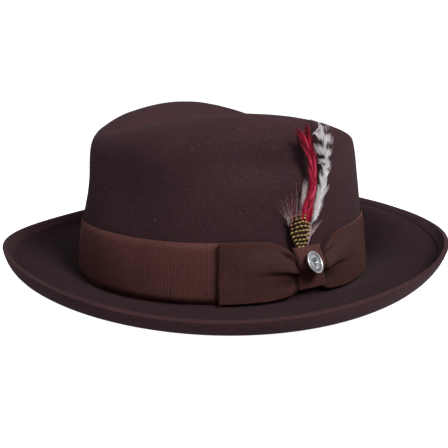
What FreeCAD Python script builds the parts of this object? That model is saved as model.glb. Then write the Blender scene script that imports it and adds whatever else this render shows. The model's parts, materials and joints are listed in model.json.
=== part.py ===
import FreeCAD, Part
import math
import os

V = FreeCAD.Vector

# Fedora hat, in millimetres. +Z is up, -Y is the front, +X is the wearer's left, where the bow is.
# The origin is on the flat oval that the hat stands on, under the middle of its bounding box.

# ---- driving dimensions: felt ---------------------------------------------------------------
FELT = 2.8                    # thickness of the felt
OVAL_X, OVAL_Y = 91.6, 102.0  # outside half axes of the crown where it meets the brim
MIDDLE_Y = 0.4                # brings the middle of the bounding box over the origin
COLUMNS = 48                  # poles round every ring of the felt

BRIM_WIDTH = 52.5             # from the crown to the rim, level
BRIM_SIDE_EXTRA = 6.5         # the sides are this much wider, the front and back narrower
RIM_HEIGHT = 21.1             # rim above the brim's root
RIM_SIDE_DROP = 2.8
RIM_BACK_RISE = 5.0
RIM_THREE_WAVE = 3.1
FLOOR_HEIGHT = 10.5           # the brim's floor, before the rim curls up
FLOOR_SIDE_DROP = 5.2
FLOOR_BACK_RISE = 7.8

CROWN_HEIGHT = 96.4
CROWN_BACK_DROP = 7.1
CROWN_SIDE_RISE = 10.2
TAPER_SIDE, TAPER_FRONT, TAPER_BACK = 8.7, 5.7, 8.7    # how far the wall leans in
RIDGE_HALF_WIDTH = 52.3
RIDGE_HALF_LENGTH = 81.9
RIDGE_MIDDLE_Y = 2.6           # the ridge sits a little towards the back
RIDGE_TEARDROP = 0.79         # wider at the back, narrower at the front
DENT_DEPTH = 30.0
PINCH_DEPTH = 6.5
PINCH_FROM_FRONT, PINCH_SPREAD = 24.0, 20.0            # degrees
PINCH_HEIGHT, PINCH_TALL = 0.68, 0.22                  # shares of the crown's height
HOLLOW_DEPTH = 2.0            # shallow hollow under the ridge, beside each pinch
HOLLOW_FROM_FRONT, HOLLOW_SPREAD = 60.0, 25.0          # degrees
HOLLOW_HEIGHT, HOLLOW_TALL = 0.83, 0.09                # shares of the crown's height

# ---- driving dimensions: ribbon and bow -----------------------------------------------------
# Places on the band are (along, height, out): along the band from the middle of the left side,
# positive towards the back; height above the rest plane; out from the felt.
MM_PER_RADIAN = 101.0
AROUND = 2 * math.pi * MM_PER_RADIAN
WALL_FOOT = FELT + 1.5        # below this height the wall counts as upright
RIBBON = 0.5                  # thickness of the ribbon
BAND_LOW, BAND_HIGH = 4.4, 40.4
BAND_OUT = 0.65               # middle of the band's thickness
BAND_BACK_LIFT = 1.6          # the brim climbs steeply at the back
BAND_GAP = 0.4                # each end of the band stops this far from the seam behind the knot
KNOT_AT = 9.2                 # where the knot is, along the band
KNOT_LEAN = -0.15             # its top leans forward
KNOT_TOP_WIDTH, KNOT_FOOT_WIDTH = 20.0, 20.5
KNOT_MIDDLE_HEIGHT = 21.5
KNOT_WAIST = 1.3              # how far its front edge draws in beside the crest
KNOT_WAIST_HEIGHT, KNOT_WAIST_TALL = 24.0, 8.0
KNOT_ROUND = 1.4              # how far its sides fall back from the crest
FRONT_FOLD, REAR_FOLD = -46.3, 74.0                    # the far ends of the two loops
LOOP_LOW, LOOP_HIGH = 4.9, 41.2
LOOP_BACK_OUT, LOOP_FRONT_OUT = 3.0, 4.0
LOOP_END = 7.0                # the loops end this far from the knot's middle
LOOP_SWELL = 1.2              # the loops swell a little between the knot and the fold
CREASE_RISE = 3.2             # the crease along the middle of the bow
CREASE_AT = 0.55              # its place across the ribbon, from the low edge
BACKING_OUT, BACKING_THICK = 2.45, 0.35
BACKING_LOW, BACKING_HIGH, BACKING_HALF = 13.0, 25.0, 8.0
TACK_RADIUS, TACK_LENGTH = 0.22, 2.4

BADGE_RADIUS, BADGE_THICK = 7.0, 1.2
DISH_WALL, DISH_FLOOR = 0.9, 0.4                       # the badge's raised rim and its back
STAR_REACH, STAR_HOLLOW = 3.2, 1.4                     # radii of the star's points and its corners
RING_RADIUS, RING_WIDTH = 4.9, 0.5
BADGE_AZIMUTH, BADGE_ELEVATION = 26.0, 30.0            # degrees: where the badge faces
BADGE_ALONG, BADGE_HEIGHT = 7.6, 27.4
BADGE_OUT = 11.0              # middle of the badge's back face
POST_RADIUS, POST_CLEARANCE = 0.5, 0.05
POST_LENGTH = 6.9
CLUTCH_RADIUS, CLUTCH_THICK, CLUTCH_FROM_END = 1.9, 0.8, 0.5

STEM_ALONG = 3.5              # where the feather's stem goes in behind the knot
STEM_RADIUS, STEM_OUT = 0.3, 1.6
STEM_LOW, STEM_HIGH = 13.0, 52.0
CARD_LOW, CARD_HIGH, CARD_OUT, CARD_HALF_WIDTH = 37.0, 55.0, 2.6, 6.6
VANE_THICK = 0.5
SCALE_ROWS, SCALE_LOW, SCALE_STEP = 8, 38.5, 2.1
SCALE_RADIUS, SCALE_THICK = 0.85, 0.5
SCALE_OUT, SCALE_OUT_STEP, SCALE_CURVE = 4.45, 0.12, 0.9    # the scales fall back at the sides
SPRAY_FOOT_HALF, SPRAY_GROWTH = 1.4, 7.6               # half width of the scales: at the foot, and more above
BINDING_HEIGHTS = (41.0, 42.0, 43.0)

# The spine of each feather, as (along, height, out) from its foot to its tip.
RED_SPINE = [
    (7.1, 48.0, 4.2), (8.1, 57.7, 4.8), (12.3, 68.5, 5.0), (13.5, 76.6, 5.0),
    (12.8, 85.9, 5.4), (9.4, 97.7, 7.0), (6.8, 105.5, 9.8),
]
SPECKLED_SPINE = [
    (12.0, 48.5, 3.95), (14.7, 57.4, 4.5), (19.5, 68.8, 5.0), (21.5, 75.7, 5.0),
    (24.0, 82.6, 5.2), (22.7, 89.9, 6.0), (20.4, 102.2, 8.5), (19.2, 105.5, 10.0),
]
FRONT_WISP_SPINE = [(-3.0, 49.0, 3.6), (-5.8, 57.0, 4.0), (-9.3, 65.1, 4.5)]
REAR_WISP_SPINE = [(9.2, 40.0, 3.3), (12.6, 48.0, 3.3), (18.0, 58.8, 3.5)]
WHITE_SPINE = [(5.0, 55.2, 5.4), (5.8, 60.0, 5.7), (6.9, 68.0, 6.1), (8.7, 78.0, 6.5)]

# ---- driving dimensions: inside -----------------------------------------------------------------
SWEAT_GAP, SWEAT_THICK = 2.2, 1.0
SWEAT_LOW, SWEAT_HIGH = 1.0, 36.0
REED_RADIUS, REED_HEIGHT = 0.6, 2.4
CASING_THICK = 0.25
LINING_GAP, LINING_THICK = 0.7, 0.5
LINING_SIDE_ROWS = (3.0, 7.2)  # ring numbers above the root, where the lining's side starts and ends
REED_OUT = -FELT - SWEAT_GAP / 2
SWEAT_FACE = -FELT - SWEAT_GAP - SWEAT_THICK           # where the sweatband's inner face is
SEAM_ALONG = AROUND / 4       # the sweatband's seam is at the back
SEAM_GAP = 0.3
STITCH_COUNT, STITCH_LENGTH, STITCH_RADIUS = 120, 2.6, 0.2


# ---- the felt's outer surface ---------------------------------------------------------------------
def oval(t):
    """The crown's root on the brim at angle t, and its outward normal."""
    normal = V(math.cos(t) / OVAL_X, math.sin(t) / OVAL_Y, 0).normalize()
    return V(OVAL_X * math.cos(t), OVAL_Y * math.sin(t) + MIDDLE_Y, FELT), normal


def bump(value, middle, spread):
    return math.exp(-((value - middle) / spread) ** 2)


COLUMN_ANGLES = [2 * math.pi * k / COLUMNS for k in range(COLUMNS)]


def brim_ring(share, curl, root=1.0):
    """A ring of the brim's top at a share of its width; curl is 0 on the floor and 1 at the rim."""
    ring = []
    for t in COLUMN_ANGLES:
        p, n = oval(t)
        wave = math.cos(2 * t)
        width = BRIM_WIDTH + BRIM_SIDE_EXTRA * wave
        rim = RIM_HEIGHT - RIM_SIDE_DROP * wave + RIM_BACK_RISE * math.sin(t)
        rim += RIM_THREE_WAVE * math.sin(3 * t)
        floor = FLOOR_HEIGHT - FLOOR_SIDE_DROP * wave + FLOOR_BACK_RISE * math.sin(t)
        ring.append(p + n * (width * share) + V(0, 0, root * floor + curl * (rim - floor)))
    return ring


def taper(t):
    ends = TAPER_FRONT if math.sin(t) < 0 else TAPER_BACK
    return ends * math.sin(t) ** 2 + TAPER_SIDE * math.cos(t) ** 2


def ridge(t):
    """The teardrop-shaped ridge round the top of the crown."""
    height = CROWN_HEIGHT - CROWN_BACK_DROP * math.sin(t) + CROWN_SIDE_RISE * math.cos(2 * t)
    half_width = RIDGE_HALF_WIDTH * (1 + RIDGE_TEARDROP * math.sin(t))
    return V(half_width * math.cos(t), RIDGE_MIDDLE_Y + RIDGE_HALF_LENGTH * math.sin(t), FELT + height)


def wall_ring(height, lean, to_ridge):
    """A ring of the crown's wall at a share of the ridge's height."""
    ring = []
    for t in COLUMN_ANGLES:
        p, n = oval(t)
        top = ridge(t)
        from_front = math.degrees(math.atan2(abs(math.cos(t)), -math.sin(t)))
        dip = PINCH_DEPTH * bump(from_front, PINCH_FROM_FRONT, PINCH_SPREAD)
        dip *= bump(height, PINCH_HEIGHT, PINCH_TALL)
        hollow = HOLLOW_DEPTH * bump(from_front, HOLLOW_FROM_FRONT, HOLLOW_SPREAD)
        dip += hollow * bump(height, HOLLOW_HEIGHT, HOLLOW_TALL)
        p = p - n * (taper(t) * lean)
        p = p + (top - p) * to_ridge - n * dip
        ring.append(V(p.x, p.y, FELT + (top.z - FELT) * height))
    return ring


def dent_ring(across, along, drop, level=False):
    """A ring inside the ridge, sinking into the centre dent."""
    ring = []
    for t in COLUMN_ANGLES:
        top = ridge(t)
        z = FELT + CROWN_HEIGHT if level else top.z
        y = RIDGE_MIDDLE_Y + (top.y - RIDGE_MIDDLE_Y) * along
        ring.append(V(top.x * across, y, z - DENT_DEPTH * drop))
    return ring


BRIM_RINGS = [
    brim_ring(1.0, 1.0),
    brim_ring(0.985, 0.72),
    brim_ring(0.93, 0.28),
    brim_ring(0.82, 0.04),
    brim_ring(0.62, 0.0),
    brim_ring(0.40, 0.0, 0.75),
    brim_ring(0.20, 0.0, 0.35),
    brim_ring(0.07, 0.0, 0.05),
    brim_ring(0.02, 0.0, 0.0),
]
WALL_RINGS = [
    wall_ring(0.01, 0.0, 0.0),
    wall_ring(0.04, 0.0, 0.0),
    wall_ring(0.12, 0.05, 0.0),
    wall_ring(0.28, 0.25, 0.0),
    wall_ring(0.46, 0.50, 0.0),
    wall_ring(0.64, 0.75, 0.0),
    wall_ring(0.80, 1.00, 0.0),
    wall_ring(0.93, 1.15, 0.10),
    wall_ring(1.01, 1.20, 0.45),
    [ridge(t) + V(0, 0, 0.02 * CROWN_HEIGHT) for t in COLUMN_ANGLES],
]
DENT_RINGS = [
    dent_ring(0.80, 0.86, 0.22),
    dent_ring(0.48, 0.62, 0.85),
    dent_ring(0.20, 0.30, 1.05, level=True),
    dent_ring(0.02, 0.02, 1.05, level=True),
]
TOP_RINGS = BRIM_RINGS + WALL_RINGS + DENT_RINGS
ROOT = len(BRIM_RINGS)        # index of the first wall ring
RIDGE_RING = ROOT + len(WALL_RINGS) - 1


def ring_normals(rings):
    """Outward unit normals of a net of rings, by differences between neighbours."""
    found = []
    last = len(rings) - 1
    for r, ring in enumerate(rings):
        row = []
        for k in range(COLUMNS):
            along = ring[(k + 1) % COLUMNS] - ring[k - 1]
            up = rings[min(r + 1, last)][k] - rings[max(r - 1, 0)][k]
            row.append(V(0, 0, 1) if r == last else along.cross(up).normalize())
        found.append(row)
    return found


TOP_NORMALS = ring_normals(TOP_RINGS)


def inset(first, last, depth):
    """Rings first to last of the felt's top, moved into the felt by depth."""
    moved = []
    for r in range(first, last):
        moved.append([p - n * depth for p, n in zip(TOP_RINGS[r], TOP_NORMALS[r])])
    return moved


# ---- places on the crown's wall ---------------------------------------------------------------------
def weights(f):
    """Shares of four neighbouring poles in a point of a uniform cubic spline."""
    first = (1 - f) ** 3 / 6
    second = (3 * f ** 3 - 6 * f ** 2 + 4) / 6
    third = (1 + 3 * f + 3 * f ** 2 - 3 * f ** 3) / 6
    return first, second, third, f ** 3 / 6


def felt_point(t, row):
    """A point of the felt's outer surface, at angle t and a fractional ring number."""
    u = t / (2 * math.pi) * COLUMNS
    first_u, first_v = math.floor(u), math.floor(row)
    point = V(0, 0, 0)
    for j, wv in enumerate(weights(row - first_v)):
        for i, wu in enumerate(weights(u - first_u)):
            point += TOP_RINGS[first_v - 1 + j][(first_u - 1 + i) % COLUMNS] * (wu * wv)
    return point


def on_wall(along, height, out):
    """The place at a height, and a distance out from the felt, beside a place along the band."""
    t = along / MM_PER_RADIAN
    goal = max(height, WALL_FOOT)
    low, high = ROOT - 0.5, RIDGE_RING - 0.2
    for _ in range(22):
        row = (low + high) / 2
        if felt_point(t, row).z < goal:
            low = row
        else:
            high = row
    place = felt_point(t, row) + oval(t)[1] * out
    return V(place.x, place.y, height)


# ---- surfaces and solids --------------------------------------------------------------------------
def spline_surface(rows, closed, degree=3):
    """A B-spline surface whose poles are rows of points; closed means periodic along each row."""
    count = len(rows[0])
    poles = [[row[k] for row in rows] for k in range(count)]
    if closed:
        knots_u, mults_u = list(range(count + 1)), [1] * (count + 1)
    else:
        knots_u = list(range(count - 2))
        mults_u = [4] + [1] * (count - 4) + [4]
    spans = len(rows) - degree
    knots_v = list(range(spans + 1))
    mults_v = [degree + 1] + [1] * (spans - 1) + [degree + 1]
    surface = Part.BSplineSurface()
    surface.buildFromPolesMultsKnots(
        poles, mults_u, mults_v, knots_u, knots_v, closed, False, 3, degree
    )
    return surface.toShape()


def solid_of(faces):
    """One valid solid out of faces that meet along their edges."""
    shell = Part.makeShell(faces)
    shell.sewShape()
    solid = Part.makeSolid(shell)
    if solid.Volume < 0:
        solid.reverse()
    if not solid.isValid():
        solid.fix(0.001, 0.001, 0.001)
    return solid


def edge_of(ring):
    wall = spline_surface([ring, [p + V(0, 0, 1) for p in ring]], True, 1)
    return min(wall.Edges, key=lambda edge: edge.BoundBox.ZMax + (0 if edge.isClosed() else 1e6))


def sheet(outer, inner, closed=False):
    """The solid between two nets of poles: a strip of ribbon, leather, cloth or feather."""
    faces = [spline_surface(outer, closed), spline_surface(inner, closed)]
    for side in (0, -1):
        faces.append(spline_surface([outer[side], inner[side]], closed, 1))
    if not closed:
        for end in (0, -1):
            rows = [[row[end] for row in outer], [row[end] for row in inner]]
            faces.append(spline_surface(rows, False, 1))
    return solid_of(faces)


def ring_bar(section, columns=96):
    """A closed ring inside the crown whose section is a polygon of (height, out) corners."""
    rings = []
    for height, out in section + section[:1]:
        rings.append([on_wall(AROUND * k / columns, height, out) for k in range(columns)])
    return solid_of([spline_surface(rings[i:i + 2], True, 1) for i in range(len(section))])


def share_rows(count):
    return [i / (count - 1) for i in range(count)]


def flat(along, share, i):
    """A ribbon that stands no further out anywhere."""
    return 0.0


def strip(path, edges, puff, thickness=RIBBON, rows=6):
    """A ribbon: path is (along, out) points, edges(along) its low and high edge heights,
    and puff(along, share) how much further out it stands at a share of its width."""
    outer, inner = [], []
    for share in share_rows(rows):
        line_out, line_in = [], []
        for i, (along, out) in enumerate(path):
            before, after = path[max(i - 1, 0)], path[min(i + 1, len(path) - 1)]
            da, do = after[0] - before[0], after[1] - before[1]
            size = math.hypot(da, do)
            na, no = -do / size * thickness / 2, da / size * thickness / 2
            low, high = edges(along)
            height = low + (high - low) * share
            stand = out + puff(along, share, i)
            line_out.append(on_wall(along + na, height, stand + no))
            line_in.append(on_wall(along - na, height, stand - no))
        outer.append(line_out)
        inner.append(line_in)
    return sheet(outer, inner)


# ---- felt -----------------------------------------------------------------------------------------
def felt_body():
    top = TOP_RINGS
    under = inset(0, ROOT - 2, FELT)
    rest_outer = [V(p.x, p.y, 0) for p in brim_ring(0.045, 0.0, 0.0)]
    rest_inner = [V(p.x, p.y, 0) - n * FELT for p, n in (oval(t) for t in COLUMN_ANGLES)]
    inner = [rest_inner] + inset(ROOT + 1, len(top), FELT)
    rim = [(a + b) * 0.5 + oval(t)[1] * 0.6 for a, b, t in zip(top[0], under[0], COLUMN_ANGLES)]
    caps = []
    for ring in (top[-1], inner[-1]):
        caps.append(Part.Face(Part.Wire([edge_of(ring)])))
    faces = [
        spline_surface(top, True),
        spline_surface(under + [rest_outer], True),
        spline_surface(inner, True),
        spline_surface([top[0], rim, under[0]], True, 2),
    ]
    flat = Part.Face([Part.Wire([edge_of(rest_outer)]), Part.Wire([edge_of(rest_inner)])])
    return solid_of(faces + caps + [flat])


# ---- ribbon, bow and knot ---------------------------------------------------------------------------
def gathered(low, high, pinch_low, pinch_high, spread, tuck):
    """Edge heights of a ribbon that the knot gathers over spread, and tucks in behind itself."""
    def edges(along):
        away = along - KNOT_AT
        lift = BAND_BACK_LIFT * max(0.0, math.sin(along / MM_PER_RADIAN)) ** 2
        hidden = tuck * bump(away, 0, spread / 2)
        return (
            low + lift + pinch_low * bump(away, 0, spread) + hidden,
            high + lift - pinch_high * bump(away, 0, spread) - hidden,
        )
    return edges


BAND_EDGES = gathered(BAND_LOW, BAND_HIGH, 8.5, 16.5, 17.0, 0.0)
LOOP_EDGES = gathered(LOOP_LOW, LOOP_HIGH, 4.0, 14.0, 16.0, 4.5)


def hat_band():
    count = 121
    path = []
    for i in range(count):
        path.append((KNOT_AT + BAND_GAP + (AROUND - 2 * BAND_GAP) * i / (count - 1), BAND_OUT))

    def edges(along):
        return BAND_EDGES(along if along < KNOT_AT + AROUND / 2 else along - AROUND)
    return strip(path, edges, flat)


def roof(share):
    """Height of the bow's crease across the ribbon: nothing at the edges, full at the crease."""
    slope = share / CREASE_AT if share < CREASE_AT else (1 - share) / (1 - CREASE_AT)
    return 0.5 - 0.5 * math.cos(math.pi * slope)


def bow_loop(fold):
    side = 1 if fold > KNOT_AT else -1
    reach = abs(fold - KNOT_AT)
    stations = 12
    back_leaf, front_leaf = [], []
    for i in range(stations):
        along = KNOT_AT + side * (LOOP_END + (reach - 1.0 - LOOP_END) * i / (stations - 1))
        back_leaf.append((along, LOOP_BACK_OUT))
        front_leaf.append((along, LOOP_FRONT_OUT))
    middle_out = (LOOP_BACK_OUT + LOOP_FRONT_OUT) / 2
    turn = [(fold, LOOP_BACK_OUT), (fold + side * 0.5, middle_out), (fold, LOOP_FRONT_OUT)]
    path = back_leaf + turn + front_leaf[::-1]

    def puff(along, share, i):
        if i <= stations:
            return 0.0
        away = abs(along - KNOT_AT)
        rise = CREASE_RISE * bump(away, 16, 22) * min(1.0, (away - 4) / 9)
        rise += LOOP_SWELL * bump(away, reach * 0.6, 16)
        return rise * roof(share) * min(1.0, (reach - away) / 12)
    return strip(path, LOOP_EDGES, puff, rows=9)


def bow_backing():
    stations = 9
    path = []
    for share in share_rows(stations):
        path.append((KNOT_AT + BACKING_HALF * (2 * share - 1), BACKING_OUT))
    return strip(path, lambda along: (BACKING_LOW, BACKING_HIGH), flat, BACKING_THICK)


KNOT_PATH = [                 # (height, out) from the foot, over the crest, and in at the top
    (10.2, 5.4), (11.2, 5.6), (13.5, 6.2), (16.5, 7.0), (20.0, 8.1), (22.6, 8.9), (24.2, 9.1),
    (25.8, 8.6), (29.0, 7.3), (32.5, 5.8), (35.0, 4.8), (35.4, 3.8), (35.0, 3.1), (34.5, 3.0),
]
KNOT_CREST = 6                # index of the crest in KNOT_PATH


def knot_along(share, height):
    """Where the knot is, along the band, at a share of its width from the front edge."""
    low, high = KNOT_PATH[0][0], KNOT_PATH[10][0]
    width = KNOT_FOOT_WIDTH + (KNOT_TOP_WIDTH - KNOT_FOOT_WIDTH) * (height - low) / (high - low)
    waist = KNOT_WAIST * bump(height, KNOT_WAIST_HEIGHT, KNOT_WAIST_TALL) * (1 - share)
    return KNOT_AT + KNOT_LEAN * (height - KNOT_MIDDLE_HEIGHT) + (share - 0.5) * width + waist


def knot_net(offset):
    """Poles of the knot's skin, offset outwards from the middle of its ribbon."""
    net = []
    last = len(KNOT_PATH) - 1
    for share in share_rows(7):
        line = []
        for i, (height, out) in enumerate(KNOT_PATH):
            before, after = KNOT_PATH[max(i - 1, 0)], KNOT_PATH[min(i + 1, last)]
            dh, do = after[0] - before[0], after[1] - before[1]
            size = math.hypot(dh, do)
            round_off = KNOT_ROUND * (2 * share - 1) ** 2 * bump(i, KNOT_CREST, 3.5)
            h, o = height - do / size * offset, out + dh / size * offset - round_off
            line.append(on_wall(knot_along(share, height), h, o))
        net.append(line)
    return net


def badge_frame():
    """The middle of the badge's back face and the way it faces."""
    azimuth, elevation = math.radians(BADGE_AZIMUTH), math.radians(BADGE_ELEVATION)
    level = math.cos(elevation)
    facing = V(level * math.cos(azimuth), level * math.sin(azimuth), math.sin(elevation))
    return on_wall(BADGE_ALONG, BADGE_HEIGHT, BADGE_OUT), facing


def bow_knot():
    knot = sheet(knot_net(RIBBON / 2), knot_net(-RIBBON / 2))
    middle, facing = badge_frame()
    hole = Part.makeCylinder(POST_RADIUS + POST_CLEARANCE, 8, middle - facing * 7.9, facing)
    return knot.cut(hole)


def stitch(point, direction, length, radius):
    return Part.makeCylinder(radius, length, point - direction * (length / 2), direction)


def tack_stitches():
    """Short threads that hold the band and the bow's loops down."""
    up = V(0, 0, 1)
    made = []
    for fold in (FRONT_FOLD + 1, REAR_FOLD - 1):
        for height in (LOOP_LOW + 6.6, LOOP_HIGH - 3.7):
            place = on_wall(fold, height, LOOP_FRONT_OUT + 1.1)
            made.append(stitch(place, up, TACK_LENGTH, TACK_RADIUS))
    for along in (-75, -150, -225, 150, 225, 300):
        place = on_wall(along, BAND_LOW + 7.6, BAND_OUT + 0.55)
        made.append(stitch(place, up, TACK_LENGTH, TACK_RADIUS))
    return made


# ---- badge ------------------------------------------------------------------------------------------
def disc(middle, facing, radius, low, high, hole=0.0):
    """A disc about the badge's axis, from low to high along it."""
    body = Part.makeCylinder(radius, high - low, middle + facing * low, facing)
    if hole:
        body = body.cut(Part.makeCylinder(hole, high - low, middle + facing * low, facing))
    return body


def badge():
    """The pin: a rim, its face, a raised ring with a plain star, the post and its clutch."""
    middle, facing = badge_frame()
    inside = BADGE_RADIUS - DISH_WALL
    rim = disc(middle, facing, BADGE_RADIUS, 0, DISH_FLOOR)
    rim = rim.fuse(disc(middle, facing, BADGE_RADIUS, DISH_FLOOR, BADGE_THICK, inside))
    face_low, face_high = DISH_FLOOR + 0.02, DISH_FLOOR * 2
    face = disc(middle, facing, inside - 0.02, face_low, face_high)
    side = V(-facing.y, facing.x, 0).normalize()
    up = facing.cross(side)
    star = []
    for i in range(10):
        reach = STAR_HOLLOW if i % 2 else STAR_REACH
        turn = math.pi / 2 + i * math.pi / 5
        offset = (side * math.cos(turn) + up * math.sin(turn)) * reach
        star.append(middle + facing * (face_high + 0.02) + offset)
    emblem = Part.Face(Part.makePolygon(star + star[:1])).extrude(facing * 0.3)
    ring = disc(middle, facing, RING_RADIUS, face_high + 0.02, face_high + 0.25, RING_RADIUS - RING_WIDTH)
    post = disc(middle, facing, POST_RADIUS, -POST_LENGTH, -0.02)
    clutch_low = CLUTCH_FROM_END - POST_LENGTH
    clutch = disc(middle, facing, CLUTCH_RADIUS, clutch_low, clutch_low + CLUTCH_THICK, POST_RADIUS + 0.02)
    return {
        "badge_rim": [rim],
        "badge_face": [face],
        "badge_emblem": [emblem, ring],
        "badge_post": [post],
        "badge_clutch": [clutch],
    }


# ---- feather spray --------------------------------------------------------------------------------
def vane(spine, width, thickness):
    """A feather's outline as a thin closed leaf along its spine; width(share) is its half width."""
    outer, inner = [], []
    for share in share_rows(17):
        place = share * (len(spine) - 1)
        i = min(int(place), len(spine) - 2)
        f = place - i
        along, height, out = (a + (b - a) * f for a, b in zip(spine[i], spine[i + 1]))
        half = width(share)
        line_out, line_in = [], []
        for across in (-1.0, -0.5, 0.0, 0.5, 1.0):
            crown = thickness / 2 * (1 - 0.6 * across * across)
            line_out.append(on_wall(along + across * half, height, out + crown))
            line_in.append(on_wall(along + across * half, height, out - crown))
        outer.append(line_out)
        inner.append(line_in)
    return sheet(outer, inner)


def leaf_width(most, least=0.6, peak=0.4):
    """Half widths of a leaf that is widest at a share of its length."""
    def width(share):
        side = share / peak if share < peak else (1 - share) / (1 - peak)
        return least + (most - least) * math.sin(math.pi / 2 * side)
    return width


def feather_scales():
    """Rows of short round scales that widen upwards from the foot of the spray."""
    scales = []
    for row in range(SCALE_ROWS):
        height = SCALE_LOW + row * SCALE_STEP
        grown = math.sin(math.pi / 2 * min(1.0, (row + 0.6) / 5))
        reach = SPRAY_FOOT_HALF + SPRAY_GROWTH * grown - 2 * SCALE_RADIUS
        count = 2 + int(reach / 1.7)
        for share in share_rows(count):
            along = STEM_ALONG + reach * (2 * share - 1)
            out = SCALE_OUT + SCALE_OUT_STEP * row - SCALE_CURVE * ((along - STEM_ALONG) / 10) ** 2
            facing = oval(along / MM_PER_RADIAN)[1]
            scales.append(Part.makeCylinder(SCALE_RADIUS, SCALE_THICK, on_wall(along, height, out), facing))
    return scales


def feather_spray():
    foot = on_wall(STEM_ALONG, STEM_LOW, STEM_OUT)
    head = on_wall(STEM_ALONG, 40.0, STEM_OUT)
    rise = (head - foot).normalize()
    stem = Part.makeCylinder(STEM_RADIUS, STEM_HIGH - STEM_LOW, foot, rise)
    card_spine = [(STEM_ALONG, CARD_LOW, CARD_OUT), (STEM_ALONG, CARD_HIGH, CARD_OUT)]
    binding = []
    for height in BINDING_HEIGHTS:
        binding.append(stitch(on_wall(STEM_ALONG, height, 2.1), V(0, 1, 0), 3.0, 0.18))
    return {
        "feather_stem": [stem],
        "feather_card": [vane(card_spine, leaf_width(CARD_HALF_WIDTH, 1.5, 0.5), VANE_THICK)],
        "feather_binding": binding,
        "feather_scales": feather_scales(),
        "red_plume": [vane(RED_SPINE, leaf_width(2.4, 1.2), VANE_THICK)],
        "speckled_plume": [vane(SPECKLED_SPINE, leaf_width(6.0, 1.6, 0.75), VANE_THICK)],
        "front_wisps": [vane(FRONT_WISP_SPINE, leaf_width(2.2, 0.4), VANE_THICK)],
        "rear_wisps": [vane(REAR_WISP_SPINE, leaf_width(2.0, 0.4), VANE_THICK)],
        "white_fluff": [vane(WHITE_SPINE, leaf_width(1.6, 0.4), VANE_THICK)],
    }


# ---- inside -----------------------------------------------------------------------------------------
def sweatband():
    middle = SWEAT_FACE + SWEAT_THICK / 2
    path = []
    for share in share_rows(97):
        path.append((SEAM_ALONG + SEAM_GAP + (AROUND - 2 * SEAM_GAP) * share, middle))
    return strip(path, lambda along: (SWEAT_LOW, SWEAT_HIGH), flat, SWEAT_THICK)


def circle_section(radius, first, last, steps):
    """Corners (height, out) on an arc about the reed's middle; angles in degrees."""
    corners = []
    for i in range(steps):
        turn = math.radians(first + (last - first) * i / (steps - 1))
        corners.append((REED_HEIGHT + radius * math.sin(turn), REED_OUT + radius * math.cos(turn)))
    return corners


def sweatband_reed():
    return ring_bar(circle_section(REED_RADIUS, 0, 315, 8))


def reed_casing():
    outside = circle_section(REED_RADIUS + 0.1 + CASING_THICK, -60, 240, 9)
    inside = circle_section(REED_RADIUS + 0.1, 240, -60, 9)
    return ring_bar(outside + inside)


def sweatband_stitches():
    """A row of stitches that holds the reed's casing to the sweatband."""
    height, out = SWEAT_LOW + 4.0, SWEAT_FACE - 0.55
    made = []
    for i in range(STITCH_COUNT):
        along = AROUND * (i + 0.5) / STITCH_COUNT
        here = on_wall(along, height, out)
        direction = (on_wall(along + 1, height, out) - here).normalize()
        made.append(stitch(here, direction, STITCH_LENGTH, STITCH_RADIUS))
    return made


def sweatband_bow():
    """The small flat bow over the sweatband's back seam."""
    made = []
    out = SWEAT_FACE - 0.5
    for side in (-1, 1):
        leaf = [(SEAM_ALONG + side * (2.2 + 1.8 * i), out) for i in range(6)]
        turn = [(SEAM_ALONG + side * 12.4, out - 0.5)]
        front = [(along, out - 1.0) for along, _ in leaf[::-1]]
        made.append(strip(leaf + turn + front, lambda along: (15.0, 22.0), flat, 0.35))
    bar = [(SEAM_ALONG + 3.0 * (i / 4 - 0.5), out - 1.0) for i in range(5)]
    made.append(strip(bar, lambda along: (14.6, 22.4), flat, 1.2))
    return made


def skin_point(t, row, depth):
    """A point under the felt's outer surface, along its own normal."""
    point = felt_point(t, row)
    along = felt_point(t + 0.01, row) - felt_point(t - 0.01, row)
    up = felt_point(t, row + 0.05) - felt_point(t, row - 0.05)
    return point - along.cross(up).normalize() * depth


def skin_rings(first, last, count, depth):
    rings = []
    for share in share_rows(count):
        row = ROOT + first + (last - first) * share
        rings.append([skin_point(t, row, depth) for t in COLUMN_ANGLES])
    return rings


def lining_side():
    near = FELT + LINING_GAP
    first, last = LINING_SIDE_ROWS
    return sheet(
        skin_rings(first, last, 9, near), skin_rings(first, last, 9, near + LINING_THICK), closed=True
    )


def lining_tip():
    skins = []
    for depth in (FELT + LINING_GAP, FELT + LINING_GAP + LINING_THICK):
        start = skin_rings(LINING_SIDE_ROWS[1] + 0.3, LINING_SIDE_ROWS[1] + 0.9, 2, depth)
        skins.append(start + inset(RIDGE_RING, len(TOP_RINGS), depth))
    return sheet(skins[0], skins[1], closed=True)


def all_parts():
    """Every node of the hat with its solids."""
    found = {
        "felt_body": [felt_body()],
        "hat_band": [hat_band()],
        "bow_front_loop": [bow_loop(FRONT_FOLD)],
        "bow_rear_loop": [bow_loop(REAR_FOLD)],
        "bow_backing": [bow_backing()],
        "bow_knot": [bow_knot()],
        "tack_stitches": tack_stitches(),
        "sweatband": [sweatband()],
        "sweatband_reed": [sweatband_reed()],
        "reed_casing": [reed_casing()],
        "sweatband_stitches": sweatband_stitches(),
        "sweatband_bow": sweatband_bow(),
        "lining_side": [lining_side()],
        "lining_tip": [lining_tip()],
    }
    found.update(badge())
    found.update(feather_spray())
    return found


os.makedirs("parts", exist_ok=True)
PARTS = all_parts()
for name, solids in PARTS.items():
    shape = solids[0] if len(solids) == 1 else Part.makeCompound(solids)
    shape.exportStep(f"parts/{name}.step")
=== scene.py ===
import json
import math
import random

import bpy
import numpy as np
from mathutils import Matrix, Vector, noise


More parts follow.
